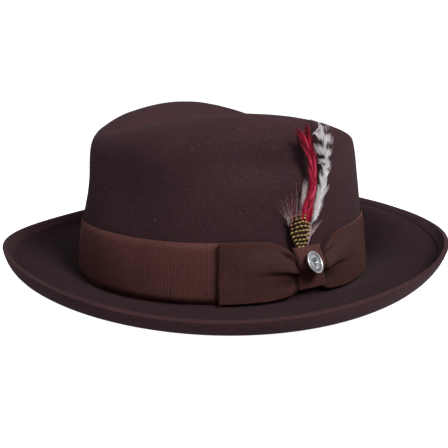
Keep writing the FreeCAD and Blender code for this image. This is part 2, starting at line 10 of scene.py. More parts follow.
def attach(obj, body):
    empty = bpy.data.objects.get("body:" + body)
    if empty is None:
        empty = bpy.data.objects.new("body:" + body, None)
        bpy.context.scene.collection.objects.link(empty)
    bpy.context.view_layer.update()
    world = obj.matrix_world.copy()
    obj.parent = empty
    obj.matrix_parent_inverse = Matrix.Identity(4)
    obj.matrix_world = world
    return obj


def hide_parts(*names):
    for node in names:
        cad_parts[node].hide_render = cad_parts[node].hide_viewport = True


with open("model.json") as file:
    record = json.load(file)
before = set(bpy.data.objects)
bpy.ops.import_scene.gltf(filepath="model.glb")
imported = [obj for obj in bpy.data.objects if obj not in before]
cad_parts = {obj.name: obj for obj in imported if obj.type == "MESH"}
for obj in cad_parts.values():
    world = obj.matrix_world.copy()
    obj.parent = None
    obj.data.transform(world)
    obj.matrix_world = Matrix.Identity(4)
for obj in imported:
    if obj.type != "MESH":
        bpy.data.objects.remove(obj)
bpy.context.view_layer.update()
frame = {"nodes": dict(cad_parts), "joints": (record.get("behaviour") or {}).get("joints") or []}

# Fedora hat. Sizes are in millimetres and become metres when a mesh is made. The felt follows the
# same rings of poles as the CAD model. Angle 0 is the wearer's left, 90 degrees the back.
MM = 0.001
TURN = 2 * math.pi

# ---- felt, as in the CAD model ----
FELT = 2.8
OVAL_X, OVAL_Y = 91.6, 102.0
MIDDLE_Y = 0.4
COLUMNS = 48
BRIM_WIDTH, BRIM_SIDE_EXTRA = 52.5, 6.5
RIM_HEIGHT, RIM_SIDE_DROP, RIM_BACK_RISE, RIM_THREE_WAVE = 21.1, 2.8, 5.0, 3.1
FLOOR_HEIGHT, FLOOR_SIDE_DROP, FLOOR_BACK_RISE = 10.5, 5.2, 7.8
CROWN_HEIGHT, CROWN_BACK_DROP, CROWN_SIDE_RISE = 96.4, 7.1, 10.2
TAPER_SIDE, TAPER_FRONT, TAPER_BACK = 8.7, 5.7, 8.7
RIDGE_HALF_WIDTH, RIDGE_HALF_LENGTH, RIDGE_MIDDLE_Y, RIDGE_TEARDROP = 52.3, 81.9, 2.6, 0.79
DENT_DEPTH = 30.0
WELT_WIDTH, WELT_RAISE, WELT_STEP, WELT_ROUND = 7.5, 0.35, 1.0, 1.5  # the brim's turned edge
WELT_CREASE, WELT_CREASE_OFF, WELT_CREASE_WIDE = 0.30, 0.6, 0.7  # the crease inside it
WELT_ROWS_END, WELT_ROW_STEP, FELT_ROWS, FELT_COLUMNS = 2.4, 0.07, 92, 384
UNDER_LIP, UNDER_STEPS, INNER_STEPS = 0.045, 4, 3
RIM_SWELL, RIM_SHARES = 0.45, (0.12, 0.3, 0.5, 0.7, 0.88)
FELT_WAVES = ((26.0, 0.35), (9.0, 0.12))  # (length, height) of the unevenness of hand-blocked felt
PINCH_DEPTH, PINCH_FROM_FRONT, PINCH_SPREAD, PINCH_HEIGHT, PINCH_TALL = 6.5, 24.0, 20.0, 0.68, 0.22
HOLLOW_DEPTH, HOLLOW_FROM_FRONT, HOLLOW_SPREAD, HOLLOW_HEIGHT, HOLLOW_TALL = 2.0, 60.0, 25.0, 0.83, 0.09

# ---- ribbon, bow, badge and feathers: (along, height, out) places as in the CAD model ----
MM_PER_RADIAN = 101.0
AROUND = TURN * MM_PER_RADIAN
WALL_FOOT = FELT + 1.5
RIBBON = 0.5
RIB_PITCH, RIB_HEIGHT, POINTS_PER_RIB, PATH_POINTS = 0.9, 0.07, 5, 400
EDGE_SHARE, EDGE_THINNER = 1 / 30, 0.12  # a ribbon is thinner over this share of its width at an edge
LOOKUP_COLUMNS, LOOKUP_STEPS, LOOKUP_TOP, LOOKUP_RISE = 720, 24, 108.0, 0.25
BAND_LOW, BAND_HIGH, BAND_OUT, BAND_BACK_LIFT = 4.4, 40.4, 0.65, 1.6
# The band's shade number is painted light: the whole band is painted lighter than the bow's loops.
BAND_GAP, BAND_PAINTED_LIGHT = 0.4, 1.12
KNOT_AT, KNOT_LEAN, KNOT_MIDDLE_HEIGHT = 9.2, -0.15, 21.5
KNOT_TOP_WIDTH, KNOT_FOOT_WIDTH = 20.0, 20.5
KNOT_WAIST, KNOT_WAIST_HEIGHT, KNOT_WAIST_TALL = 1.3, 24.0, 8.0
# The knot's shade number is painted shade, darker all over than the band.
KNOT_FOOT_HEIGHT, KNOT_TALL, KNOT_COLUMNS, KNOT_PAINTED_SHADE = 10.0, 25.0, 64, 0.84
FRONT_FOLD, REAR_FOLD = -46.3, 74.0
LOOP_LOW, LOOP_HIGH, LOOP_BACK_OUT, LOOP_FRONT_OUT, LOOP_END = 4.9, 41.2, 3.0, 4.0, 7.0
FOLD_ROUND, FOLD_BULGE = 0.12, 0.35
CREASE_RISE, CREASE_AT, CREASE_FOOT, LOOP_SWELL = 3.2, 0.55, 0.80, 1.2
# Small folds by the knot: height, share of the width and its wander, their size, place from the knot, length.
CRUMPLES = ((1.5, 0.93, -0.03, 0.05, 14.5, 3.5), (-1.0, 0.82, 0.05, 0.045, 15.5, 5.0))
STEM_ALONG = 3.5
TIP_STRETCH = 16.0  # how far barbs run past the end of their spine, for each unit of its length
SPINE_POINTS, BARB_POINTS, HAIR_POINTS = 240, 8, 8
MIDDLE_REACH = 0.78  # how far the middling clump of barbs reaches, as a share of the plume's width
SCALE_ROWS, SCALE_LOW, SCALE_STEP = 9, 37.6, 1.95
SCALE_LENGTH, SCALE_LENGTH_STEPS, SCALE_WIDTH_STEPS = 5.4, 13, 9
SCALE_APART, SCALE_THICK, SCALE_TIP = 3.1, 0.16, 0.55

# The spine of each feather, as (along, height, out) from its foot to its tip.
RED_SPINE = [
    (5.9, 47.0, 3.3), (7.6, 57.7, 4.8), (11.9, 68.5, 5.0), (13.3, 76.6, 5.0),
    (12.8, 85.9, 5.4), (9.4, 97.7, 7.0), (6.8, 105.5, 9.8),
]
SPECKLED_SPINE = [
    (12.0, 48.5, 3.95), (14.7, 57.4, 4.5), (19.5, 68.8, 5.0), (21.5, 75.7, 5.0),
    (24.0, 82.6, 5.2), (22.7, 89.9, 6.0), (20.4, 102.2, 8.5), (19.2, 105.5, 10.0),
]
# The speckled plume's dark bars: share of its length, spread and strength.
DARK_BARS = [
    (0.16, 0.02, 0.35), (0.30, 0.02, 0.5), (0.43, 0.02, 0.6), (0.55, 0.02, 0.7),
    (0.66, 0.025, 1.1), (0.77, 0.022, 1.2), (0.87, 0.022, 0.9), (0.96, 0.03, 1.0),
]
# The path of the knot's wrap, as (height, out) from its lower end behind the bow to its upper one.
KNOT_PATH = [
    (11.8, 3.5), (10.9, 3.5), (10.1, 4.2), (10.4, 5.1), (13.5, 5.5), (17.0, 6.1), (20.6, 7.3), (22.8, 8.8),
    (24.2, 9.3), (25.8, 8.9), (29.0, 7.5), (32.5, 6.0), (34.8, 4.9), (35.4, 3.9), (34.6, 3.1), (33.4, 3.0),
]


# ---- splines and nets ----
def bump(value, middle, spread):
    return np.exp(-((value - middle) / spread) ** 2)


def clamp(value):
    return min(1.0, max(0.0, value))


def smooth(value):
    value = np.clip(value, 0.0, 1.0)
    return value * value * (3 - 2 * value)


def unit(vectors):
    """Vectors scaled to length 1 along the last axis."""
    return vectors / np.maximum(np.linalg.norm(vectors, axis=-1, keepdims=True), 1e-9)


def closed_weights(count, samples):
    """Weights of the poles of a closed uniform cubic spline, one row per sample."""
    place = np.arange(samples) * count / samples
    k = place.astype(int)
    f = place - k
    cubic = (1 - f) ** 3, 3 * f ** 3 - 6 * f ** 2 + 4, 1 + 3 * f + 3 * f ** 2 - 3 * f ** 3, f ** 3
    table = np.zeros((samples, count))
    for j in range(4):
        table[np.arange(samples), (k - 1 + j) % count] += cubic[j] / 6
    return table


def clamped_weights(count, places):
    """Weights of the poles of a clamped uniform cubic spline at places from 0 to count - 3."""
    knots = np.clip(np.arange(-3, count + 1), 0, count - 3)
    places = np.clip(places, 0, count - 3 - 1e-9)
    table = np.zeros((len(places), len(knots) - 1))
    for i in range(len(knots) - 1):
        table[:, i] = (places >= knots[i]) & (places < knots[i + 1])
    for degree in range(1, 4):
        for i in range(len(knots) - 1 - degree):
            left, right = knots[i + degree] - knots[i], knots[i + degree + 1] - knots[i + 1]
            grow = (places - knots[i]) / left * table[:, i] if left else 0
            fall = (knots[i + degree + 1] - places) / right * table[:, i + 1] if right else 0
            table[:, i] = grow + fall
    return table[:, :count]


def curve(points, samples):
    """A smooth line through a short list of points."""
    points = np.array(points, float)
    ends = 2 * points[:1] - points[1:2], 2 * points[-1:] - points[-2:-1]
    padded = np.concatenate([ends[0], points, ends[1]])
    place = np.linspace(0, len(points) - 1, samples)
    k = np.minimum(place.astype(int), len(points) - 2)
    f = (place - k)[:, None]
    a, b, c, d = padded[k], padded[k + 1], padded[k + 2], padded[k + 3]
    return b + 0.5 * f * (c - a + f * (2 * a - 5 * b + 4 * c - d + f * (3 * b - a - 3 * c + d)))


# ---- the felt's net, ring by ring ----
ANGLES = np.arange(COLUMNS) * TURN / COLUMNS


def oval(t):
    """The crown's root on the brim at angles t, and its level outward normals."""
    normal = unit(np.stack([np.cos(t) / OVAL_X, np.sin(t) / OVAL_Y, 0 * t], -1))
    return np.stack([OVAL_X * np.cos(t), OVAL_Y * np.sin(t) + MIDDLE_Y, FELT + 0 * t], -1), normal


ROOT_POINTS, ROOT_NORMALS = oval(ANGLES)
WAVE, BACK = np.cos(2 * ANGLES), np.sin(ANGLES)
UP = np.array([0.0, 0.0, 1.0])


def brim_ring(share, curl, root=1.0):
    """A ring a share of the way out on the brim, raised by its curl and by its height at the root."""
    width = BRIM_WIDTH + BRIM_SIDE_EXTRA * WAVE
    rim = RIM_HEIGHT - RIM_SIDE_DROP * WAVE + RIM_BACK_RISE * BACK + RIM_THREE_WAVE * np.sin(3 * ANGLES)
    floor = FLOOR_HEIGHT - FLOOR_SIDE_DROP * WAVE + FLOOR_BACK_RISE * BACK
    rise = root * floor + curl * (rim - floor)
    return ROOT_POINTS + ROOT_NORMALS * (width * share)[:, None] + UP * rise[:, None]


def ridge_ring():
    height = CROWN_HEIGHT - CROWN_BACK_DROP * BACK + CROWN_SIDE_RISE * WAVE
    half_width = RIDGE_HALF_WIDTH * (1 + RIDGE_TEARDROP * BACK)
    y = RIDGE_MIDDLE_Y + RIDGE_HALF_LENGTH * BACK
    return np.stack([half_width * np.cos(ANGLES), y, FELT + height], -1)


RIDGE = ridge_ring()


def wall_ring(height, lean, to_ridge):
    """A level ring of the crown's wall, drawn in by its taper, front pinches and side hollows."""
    ends = np.where(BACK < 0, TAPER_FRONT, TAPER_BACK)
    taper = ends * BACK ** 2 + TAPER_SIDE * np.cos(ANGLES) ** 2
    from_front = np.degrees(np.arctan2(np.abs(np.cos(ANGLES)), -BACK))
    pinch = PINCH_DEPTH * bump(from_front, PINCH_FROM_FRONT, PINCH_SPREAD)
    hollow = HOLLOW_DEPTH * bump(from_front, HOLLOW_FROM_FRONT, HOLLOW_SPREAD)
    dip = pinch * bump(height, PINCH_HEIGHT, PINCH_TALL) + hollow * bump(height, HOLLOW_HEIGHT, HOLLOW_TALL)
    p = ROOT_POINTS - ROOT_NORMALS * (taper * lean)[:, None]
    p = p + (RIDGE - p) * to_ridge - ROOT_NORMALS * dip[:, None]
    p[:, 2] = FELT + (RIDGE[:, 2] - FELT) * height
    return p


def dent_ring(across, along, drop, level=False):
    """The ridge drawn together and lowered into the dent; level flattens it near the middle."""
    p = RIDGE.copy()
    p[:, 0] *= across
    p[:, 1] = RIDGE_MIDDLE_Y + (p[:, 1] - RIDGE_MIDDLE_Y) * along
    if level:
        p[:, 2] = FELT + CROWN_HEIGHT
    p[:, 2] -= DENT_DEPTH * drop
    return p


BRIM_RINGS = [brim_ring(*row) for row in (
    (1.0, 1.0), (0.985, 0.72), (0.93, 0.28), (0.82, 0.04), (0.62, 0.0),
    (0.40, 0.0, 0.75), (0.20, 0.0, 0.35), (0.07, 0.0, 0.05), (0.02, 0.0, 0.0),
)]
WALL_RINGS = [wall_ring(*row) for row in (
    (0.01, 0.0, 0.0), (0.04, 0.0, 0.0), (0.12, 0.05, 0.0), (0.28, 0.25, 0.0), (0.46, 0.50, 0.0),
    (0.64, 0.75, 0.0), (0.80, 1.00, 0.0), (0.93, 1.15, 0.10), (1.01, 1.20, 0.45),
)]
WALL_RINGS.append(RIDGE + UP * 0.02 * CROWN_HEIGHT)
DENT_RINGS = [dent_ring(*row) for row in (
    (0.80, 0.86, 0.22), (0.48, 0.62, 0.85), (0.20, 0.30, 1.05, True), (0.02, 0.02, 1.05, True),
)]
TOP = np.array(BRIM_RINGS + WALL_RINGS + DENT_RINGS)
ROOT = len(BRIM_RINGS)
RIDGE_ROW = ROOT + len(WALL_RINGS) - 1


def net_normals(net):
    """Unit normals of a net of closed rings, outwards for rings that run up the crown."""
    along = np.roll(net, -1, 1) - np.roll(net, 1, 1)
    return unit(np.cross(along, np.gradient(net, axis=0)))


TOP_NORMALS = net_normals(TOP)
TOP_NORMALS[-1] = UP


def inset(first, last):
    """Rows of the net moved in by the thickness of the felt."""
    return TOP[first:last] - TOP_NORMALS[first:last] * FELT


def skin(net, samples_around, places):
    """Points of the closed surface over a net of rings, at places along the rows or so many a row."""
    rows = len(net)
    if np.isscalar(places):
        places = np.linspace(0, rows - 3, (rows - 3) * places + 1)
    around = closed_weights(net.shape[1], samples_around)
    return np.einsum("ij,jkc,lk->ilc", clamped_weights(rows, places), net, around)


def wall_table():
    """Places on the crown's wall: a row for each level and a column for each angle."""
    net = skin(TOP, LOOKUP_COLUMNS, LOOKUP_STEPS)
    net = net[(ROOT - 2) * LOOKUP_STEPS:(RIDGE_ROW - 1) * LOOKUP_STEPS]
    levels = np.arange(WALL_FOOT, LOOKUP_TOP, LOOKUP_RISE)
    table = np.zeros((len(levels), LOOKUP_COLUMNS, 3))
    for k in range(LOOKUP_COLUMNS):
        for axis in range(3):
            table[:, k, axis] = np.interp(levels, net[:, k, 2], net[:, k, axis])
    return table


WALL_TABLE = wall_table()


def on_wall(along, height, out):
    """Points at places along the band, at heights, and out from the felt."""
    along, height, out = np.broadcast_arrays(*[np.asarray(v, float) for v in (along, height, out)])
    t = along / MM_PER_RADIAN
    column = (t / TURN * LOOKUP_COLUMNS) % LOOKUP_COLUMNS
    c0 = np.floor(column).astype(int) % LOOKUP_COLUMNS
    c1 = (c0 + 1) % LOOKUP_COLUMNS
    cf = (column - np.floor(column))[..., None]
    level = np.clip((height - WALL_FOOT) / LOOKUP_RISE, 0, len(WALL_TABLE) - 1.001)
    l0 = np.floor(level).astype(int)
    lf = (level - l0)[..., None]
    lower = WALL_TABLE[l0, c0] * (1 - cf) + WALL_TABLE[l0, c1] * cf
    upper = WALL_TABLE[l0 + 1, c0] * (1 - cf) + WALL_TABLE[l0 + 1, c1] * cf
    place = lower * (1 - lf) + upper * lf + oval(t)[1] * out[..., None]
    place[..., 2] = height
    return place


# ---- making meshes ----
def new_object(name, data):
    made = bpy.data.objects.new(name, data)
    bpy.context.scene.collection.objects.link(made)
    return made


def add_mesh(name, points, faces, body, slot, material, replaced):
    """A piece made of points in millimetres; it rides on a body and stands for CAD nodes."""
    mesh = bpy.data.meshes.new(name)
    mesh.from_pydata((np.asarray(points, float).reshape(-1, 3) * MM).tolist(), [], faces)
    mesh.polygons.foreach_set("use_smooth", [True] * len(mesh.polygons))
    mesh.update()
    piece = new_object(name, mesh)
    mesh.materials.append(material)
    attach(piece, body)
    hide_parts(*replaced)
    return piece


def grid_faces(rows, columns, closed_columns=False, closed_rows=False, flip=False, start=0):
    """Quads of a grid of points stored row by row."""
    row_span = rows if closed_rows else rows - 1
    column_span = columns if closed_columns else columns - 1
    r, c = np.meshgrid(np.arange(row_span), np.arange(column_span), indexing="ij")
    r1, c1 = (r + 1) % rows, (c + 1) % columns
    quads = np.stack([r * columns + c, r * columns + c1, r1 * columns + c1, r1 * columns + c], -1)
    quads = quads.reshape(-1, 4) + start
    if flip:
        quads = quads[:, ::-1]
    return quads.tolist()


def paint(piece, name, values):
    """Stores a number for each point, for the material to read."""
    store = piece.data.attributes.new(name, "FLOAT", "POINT")
    store.data.foreach_set("value", np.asarray(values, np.float32).ravel())


def sheet_faces(rows, columns, start=0):
    """Faces of a closed thin sheet, whose outer points come first and its inner points next."""
    count = rows * columns
    faces = grid_faces(rows, columns, start=start)
    faces += grid_faces(rows, columns, flip=True, start=start + count)
    index = start + np.arange(count).reshape(rows, columns)
    for edge, turned in ((index[0], True), (index[-1], False), (index[:, 0], False), (index[:, -1], True)):
        for a, b in zip(edge[:-1].tolist(), edge[1:].tolist()):
            quad = [a, b, count + b, count + a]
            faces.append(quad[::-1] if turned else quad)
    return faces


# ---- materials ----
def material(name, base, roughness, **sockets):
    """A new Principled material and its node tree."""
    made = bpy.data.materials.new(name)
    made.use_nodes = True
    inputs = made.node_tree.nodes["Principled BSDF"].inputs
    sockets.update(Base_Color=(*base, 1), Roughness=roughness)
    for socket, value in sockets.items():
        inputs[socket.replace("_", " ")].default_value = value
    return made, made.node_tree


def node(tree, kind, **settings):
    """A new shader node with its properties and inputs set by name."""
    made = tree.nodes.new("ShaderNode" + kind)
    for key, value in settings.items():
        if hasattr(made, key):
            setattr(made, key, value)
        else:
            made.inputs[key.replace("_", " ")].default_value = value
    return made


def noise_node(tree, scale, detail=3, roughness=0.6, stretch=None):
    """Noise over the object, per metre; stretch squeezes it along an axis."""
    made = node(tree, "TexNoise", Scale=scale, Detail=detail, Roughness=roughness)
    place = node(tree, "TexCoord").outputs["Object"]
    if stretch:
        mapping = node(tree, "Mapping", Scale=stretch)
        tree.links.new(place, mapping.inputs["Vector"])
        place = mapping.outputs["Vector"]
    tree.links.new(place, made.inputs["Vector"])
    return made.outputs["Fac"]


def ramp(tree, source, stops):
    """A colour ramp: stops are (place, colour)."""
    made = node(tree, "ValToRGB")
    elements = made.color_ramp.elements
    while len(elements) < len(stops):
        elements.new(0.5)
    for element, (place, colour) in zip(elements, stops):
        element.position = place
        element.color = (*colour, 1)
    tree.links.new(source, made.inputs["Fac"])
    return made.outputs["Color"]


def mix(tree, a, b, factor, blend="MIX"):
    """Mixes two colours; the factor and the colours may be values or other nodes' outputs."""
    made = node(tree, "Mix", data_type="RGBA", blend_type=blend)
    for index, value in ((0, factor), (6, a), (7, b)):
        if isinstance(value, bpy.types.NodeSocket):
            tree.links.new(value, made.inputs[index])
        else:
            made.inputs[index].default_value = (*value, 1) if index else value
    return made.outputs[2]


def multiplied(tree, colour, factor):
    return mix(tree, colour, factor, 1.0, "MULTIPLY")


def attribute(tree, name, output="Fac"):
    return node(tree, "Attribute", attribute_name=name).outputs[output]


def grey(value):
    return (value,) * 3


def scaled(colour, factor):
    return tuple(min(1.0, c * factor) for c in colour)


def finished(made, colour, heights=(), rough=None):
    """Links a material's colour, its roughness if that varies, and bumps: (source, metres, strength)."""
    tree = made.node_tree
    inputs = tree.nodes["Principled BSDF"].inputs
    tree.links.new(colour, inputs["Base Color"])
    if rough:
        tree.links.new(rough, inputs["Roughness"])
    normal = None
    for source, distance, strength in heights:
        bumps = node(tree, "Bump", Distance=distance, Strength=strength)
        tree.links.new(source, bumps.inputs["Height"])
        if normal:
            tree.links.new(normal, bumps.inputs["Normal"])
        normal = bumps.outputs["Normal"]
    if normal:
        tree.links.new(normal, inputs["Normal"])
    return made


def mottled(tree, source, base, change):
    """The base colour, a share darker where the source is low and a share lighter where it is high."""
    return ramp(tree, source, [(0.3, scaled(base, 1 - change)), (0.7, scaled(base, 1 + change))])


def felt_material():
    base = (0.0500, 0.0225, 0.0270)
    made, tree = material(
        "felt", base, 0.92, Sheen_Weight=0.08, Sheen_Roughness=0.45, Sheen_Tint=(0.62, 0.46, 0.48, 1),
        Specular_IOR_Level=0.12,
    )
    cloud = noise_node(tree, 22, 5)
    nap = noise_node(tree, 800, 6, 0.75)
    fibre = noise_node(tree, 1900)
    colour = mottled(tree, cloud, base, 0.14)
    speck = ramp(tree, nap, [(0.34, grey(0.70)), (0.68, (1.32, 1.30, 1.31))])
    # The felt's shade number paints light and shade over its colour.
    colour = multiplied(tree, multiplied(tree, colour, speck), attribute(tree, "shade", "Color"))
    lint = ramp(tree, noise_node(tree, 800, 2, 0.4), [(0.72, grey(0)), (0.80, (0.07, 0.05, 0.05))])
    colour = mix(tree, colour, lint, 1.0, "ADD")
    return finished(made, colour, [(cloud, 0.0006, 0.3), (nap, 0.0004, 0.35), (fibre, 0.00015, 0.5)])


def ribbon_material():
    """Grosgrain: painted shade in the grooves between its ribs and painted light on their tops, which the
    piece's rib number tells; its shade number paints light and shade over it.
    """
    base = (0.100, 0.0385, 0.0345)
    made, tree = material(
        "ribbon", base, 0.72, Sheen_Weight=0.03, Sheen_Roughness=0.4, Specular_IOR_Level=0.12
    )
    cloud = noise_node(tree, 45, 4)
    thread = noise_node(tree, 1500)
    rib_painted_light_and_shade = ramp(tree, attribute(tree, "rib"), [(0.0, (0.45, 0.42, 0.42)), (0.75, grey(1.22))])
    speck = ramp(tree, thread, [(0.35, grey(0.72)), (0.65, (1.28, 1.25, 1.23))])
    colour = mottled(tree, cloud, base, 0.12)
    for factor in (rib_painted_light_and_shade, speck, attribute(tree, "shade", "Color")):
        colour = multiplied(tree, colour, factor)
    return finished(made, colour, [(thread, 0.0001, 0.4)])


def feather_material(name, stops):
    """Feather colour from the piece's own tone number, a little varied strand by strand."""
    made, tree = material(name, stops[0][1], 0.6, Sheen_Weight=0.02, Specular_IOR_Level=0.2)
    colour = ramp(tree, attribute(tree, "tone"), stops)
    grain = ramp(tree, noise_node(tree, 1400), [(0.3, grey(0.82)), (0.7, grey(1.15))])
    return finished(made, multiplied(tree, colour, grain))


def scale_material():
    """Bronze and olive by the tone number, and reddish where the red number is high."""
    made, tree = material("scale_feather", (0.1, 0.06, 0.02), 0.4, Specular_IOR_Level=0.5)
    tone = attribute(tree, "tone")
    dark, olive = (0.012, 0.007, 0.002), (0.14, 0.078, 0.014)
    gold, pale = (0.42, 0.24, 0.055), (0.95, 0.74, 0.40)
    maroon, rust, salmon = (0.07, 0.006, 0.006), (0.40, 0.08, 0.04), (0.80, 0.34, 0.22)
    plain = ramp(tree, tone, [
        (0.0, dark), (0.42, dark), (0.58, olive), (0.70, gold), (0.85, pale), (0.98, gold),
    ])
    reddish = ramp(tree, tone, [
        (0.0, dark), (0.45, dark), (0.62, maroon), (0.74, rust), (0.88, salmon), (0.98, rust),
    ])
    red = ramp(tree, attribute(tree, "red"), [(0.55, grey(0)), (0.85, grey(1))])
    grain = ramp(tree, noise_node(tree, 1800), [(0.3, grey(0.75)), (0.7, grey(1.15))])
    colour = multiplied(tree, mix(tree, plain, reddish, red), grain)
    return finished(made, colour, [(noise_node(tree, 2500), 0.0001, 0.4)])


def metal_material(name, base, roughness, tarnish=0.5):
    made, tree = material(name, base, roughness, Metallic=1.0)
    cloud = noise_node(tree, 260, 5, 0.65)
    colour = ramp(tree, cloud, [(0.3, scaled(base, tarnish)), (0.62, base)])
    worn = [(0.3, grey(roughness * 0.7)), (0.7, grey(min(1, roughness * 1.5)))]
    rough = ramp(tree, noise_node(tree, 700, 4), worn)
    return finished(made, colour, [(noise_node(tree, 900), 0.00005, 0.3)], rough)


def leather_material():
    base = (0.11, 0.05, 0.028)
    made, tree = material("sweatband_leather", base, 0.5, Coat_Weight=0.08, Specular_IOR_Level=0.4)
    colour = mottled(tree, noise_node(tree, 60, 5), base, 0.25)
    grain = node(tree, "TexVoronoi", feature="DISTANCE_TO_EDGE", Scale=1400)
    tree.links.new(node(tree, "TexCoord").outputs["Object"], grain.inputs["Vector"])
    creases = noise_node(tree, 500, 4, 0.55)
    return finished(made, colour, [(grain.outputs["Distance"], 0.0002, 0.35), (creases, 0.0002, 0.2)])


def satin_material(name, base):
    made, tree = material(name, base, 0.35, Sheen_Weight=0.3, Specular_IOR_Level=0.5)
    cloud = noise_node(tree, 30, 4)
    weave = noise_node(tree, 1600, 2, 0.5, stretch=(1, 1, 0.15))
    return finished(made, mottled(tree, cloud, base, 0.2), [(cloud, 0.002, 0.25), (weave, 0.00008, 0.4)])


def plain_material(name, base, roughness, scale=500):
    made, tree = material(name, base, roughness)
    grain = noise_node(tree, scale, 4)
    return finished(made, mottled(tree, grain, base, 0.2), [(grain, 0.0001, 0.3)])


FELT_MATERIAL = felt_material()
RIBBON_MATERIAL = ribbon_material()
THREAD_MATERIAL = plain_material("thread", (0.07, 0.032, 0.032), 0.8, 3000)
LEATHER_MATERIAL = leather_material()
LINING_MATERIAL = satin_material("lining", (0.10, 0.028, 0.034))
SILVER_MATERIAL = metal_material("silver", (0.92, 0.91, 0.92), 0.30, 0.8)
FACE_MATERIAL = metal_material("silver_face", (0.62, 0.64, 0.67), 0.42)
MARK_MATERIAL = plain_material("dark_mark", (0.06, 0.065, 0.085), 0.55)
RED_MATERIAL = feather_material("red_barbs", [
    (0.0, (0.030, 0.001, 0.004)), (0.35, (0.20, 0.002, 0.012)),
    (0.65, (0.60, 0.009, 0.055)), (1.0, (0.85, 0.12, 0.22)),
])
SPECKLED_MATERIAL = feather_material("speckled_barbs", [
    (0.0, (0.97, 0.94, 0.96)), (0.3, (0.80, 0.72, 0.73)),
    (0.52, (0.20, 0.14, 0.13)), (0.8, (0.010, 0.008, 0.008)),
])
WHITE_MATERIAL = feather_material("white_down", [
    (0.0, (0.86, 0.82, 0.84)), (0.5, (0.62, 0.36, 0.40)), (1.0, (0.28, 0.02, 0.05)),
])
SCALE_MATERIAL = scale_material()
WIRE_MATERIAL = metal_material("wire", (0.5, 0.49, 0.47), 0.35)


# ---- felt ----
# Painted light and shade on the felt, row by row: painted shade on the brim and low on the crown, painted
# light near the ridge.
FELT_PAINT_ROWS = [0.0, 0.5, 1.2, ROOT - 1, (ROOT + RIDGE_ROW) / 2 - 1, RIDGE_ROW - 1, RIDGE_ROW + 1]
FELT_PAINTED_LIGHT_AND_SHADE = [1.15, 1.10, 0.56, 0.62, 0.88, 1.05, 1.20]
RIM_PAINTED_LIGHT, UNDER_PAINTED_SHADE = 1.05, 0.90
HOLLOW_Y, HOLLOW_LONG, HOLLOW_HIGH = -8.0, 36.0, 8.0
PRESSED_IN, PRESSED_HEIGHT, HOLLOW_PAINTED_SHADE, HOLLOW_SHADE_HEIGHT = 2.0, 83.0, 0.20, 90.0


def felt_rows():
    """Places along the rows of the felt's outer skin: closest together at the turned edge of the brim."""
    edge = np.arange(0.0, WELT_ROWS_END, WELT_ROW_STEP)
    return np.concatenate([edge, np.linspace(WELT_ROWS_END, len(TOP) - 3, FELT_ROWS)])


def welt(rows):
    """Raises the brim's turned edge a little, with a fine crease along its inner side."""
    from_rim = np.cumsum(np.linalg.norm(np.diff(rows, axis=0, prepend=rows[:1]), axis=-1), axis=0)
    raised = 1 - smooth((from_rim - WELT_WIDTH) / WELT_STEP + 0.5)
    raised = WELT_RAISE * raised * smooth(from_rim / WELT_ROUND)
    return raised - WELT_CREASE * bump(from_rim, WELT_WIDTH + WELT_CREASE_OFF, WELT_CREASE_WIDE)


def ridge_hollow(rows, height):
    """1 in the middle of the soft hollow that hands press in the wall below the ridge, and 0 away from it."""
    wall = (felt_rows() < RIDGE_ROW - 1)[:, None]
    return wall * bump(rows[..., 1], HOLLOW_Y, HOLLOW_LONG) * bump(rows[..., 2], height, HOLLOW_HIGH)


def felt_piece():
    """The crown and brim: outer skin, rim, underside of the brim and inside of the crown in one net."""
    columns = FELT_COLUMNS
    under_lip = brim_ring(UNDER_LIP, 0.0, 0.0) * [1, 1, 0]
    inner_foot = (ROOT_POINTS - ROOT_NORMALS * FELT) * [1, 1, 0]
    top = skin(TOP, columns, felt_rows())
    under = skin(np.concatenate([inset(0, ROOT - 2), [under_lip]]), columns, UNDER_STEPS)
    inner = skin(np.concatenate([[inner_foot], inset(ROOT + 1, len(TOP))]), columns, INNER_STEPS)
    lift = net_normals(top)
    relief = welt(top) - PRESSED_IN * ridge_hollow(top, PRESSED_HEIGHT)
    for r in range(len(top) - 3):
        for k in range(columns):
            p = Vector(top[r, k])
            slow = sum(noise.noise(p / length) * height for length, height in FELT_WAVES)
            top[r, k] += lift[r, k] * (slow + relief[r, k])
    through = top[0] - under[0]
    _, out = oval(np.arange(columns) * TURN / columns)
    rim = np.array([
        top[0] - through * share + out * RIM_SWELL * (1 - (2 * share - 1) ** 4) for share in RIM_SHARES
    ])
    rows = np.concatenate([top[::-1], rim, under, inner])
    points = np.concatenate([rows.reshape(-1, 3), [rows[0].mean(0)], [rows[-1].mean(0)]])
    faces = grid_faces(len(rows), columns, closed_columns=True, flip=True)
    middle, last_row = len(points) - 2, (len(rows) - 1) * columns
    for k in range(columns):
        after = (k + 1) % columns
        faces.append([middle, k, after])
        faces.append([middle + 1, last_row + after, last_row + k])
    piece = add_mesh("felt", points, faces, "hat", "felt", FELT_MATERIAL, ["felt_body"])
    # Painted shade under the brim and painted light on the rim.
    tones = np.full((len(rows), columns), UNDER_PAINTED_SHADE)
    # Painted shade on the brim and low on the crown, painted light near the ridge.
    tones[:len(top)] = np.interp(felt_rows(), FELT_PAINT_ROWS, FELT_PAINTED_LIGHT_AND_SHADE)[::-1, None]
    # Painted shade in the hollow below the ridge.
    tones[:len(top)] *= 1 - HOLLOW_PAINTED_SHADE * ridge_hollow(top, HOLLOW_SHADE_HEIGHT)[::-1]
    tones[len(top):len(top) + len(rim)] = RIM_PAINTED_LIGHT
    paint(piece, "shade", np.concatenate([tones.ravel(), [FELT_PAINTED_LIGHT_AND_SHADE[-1]] * 2]))


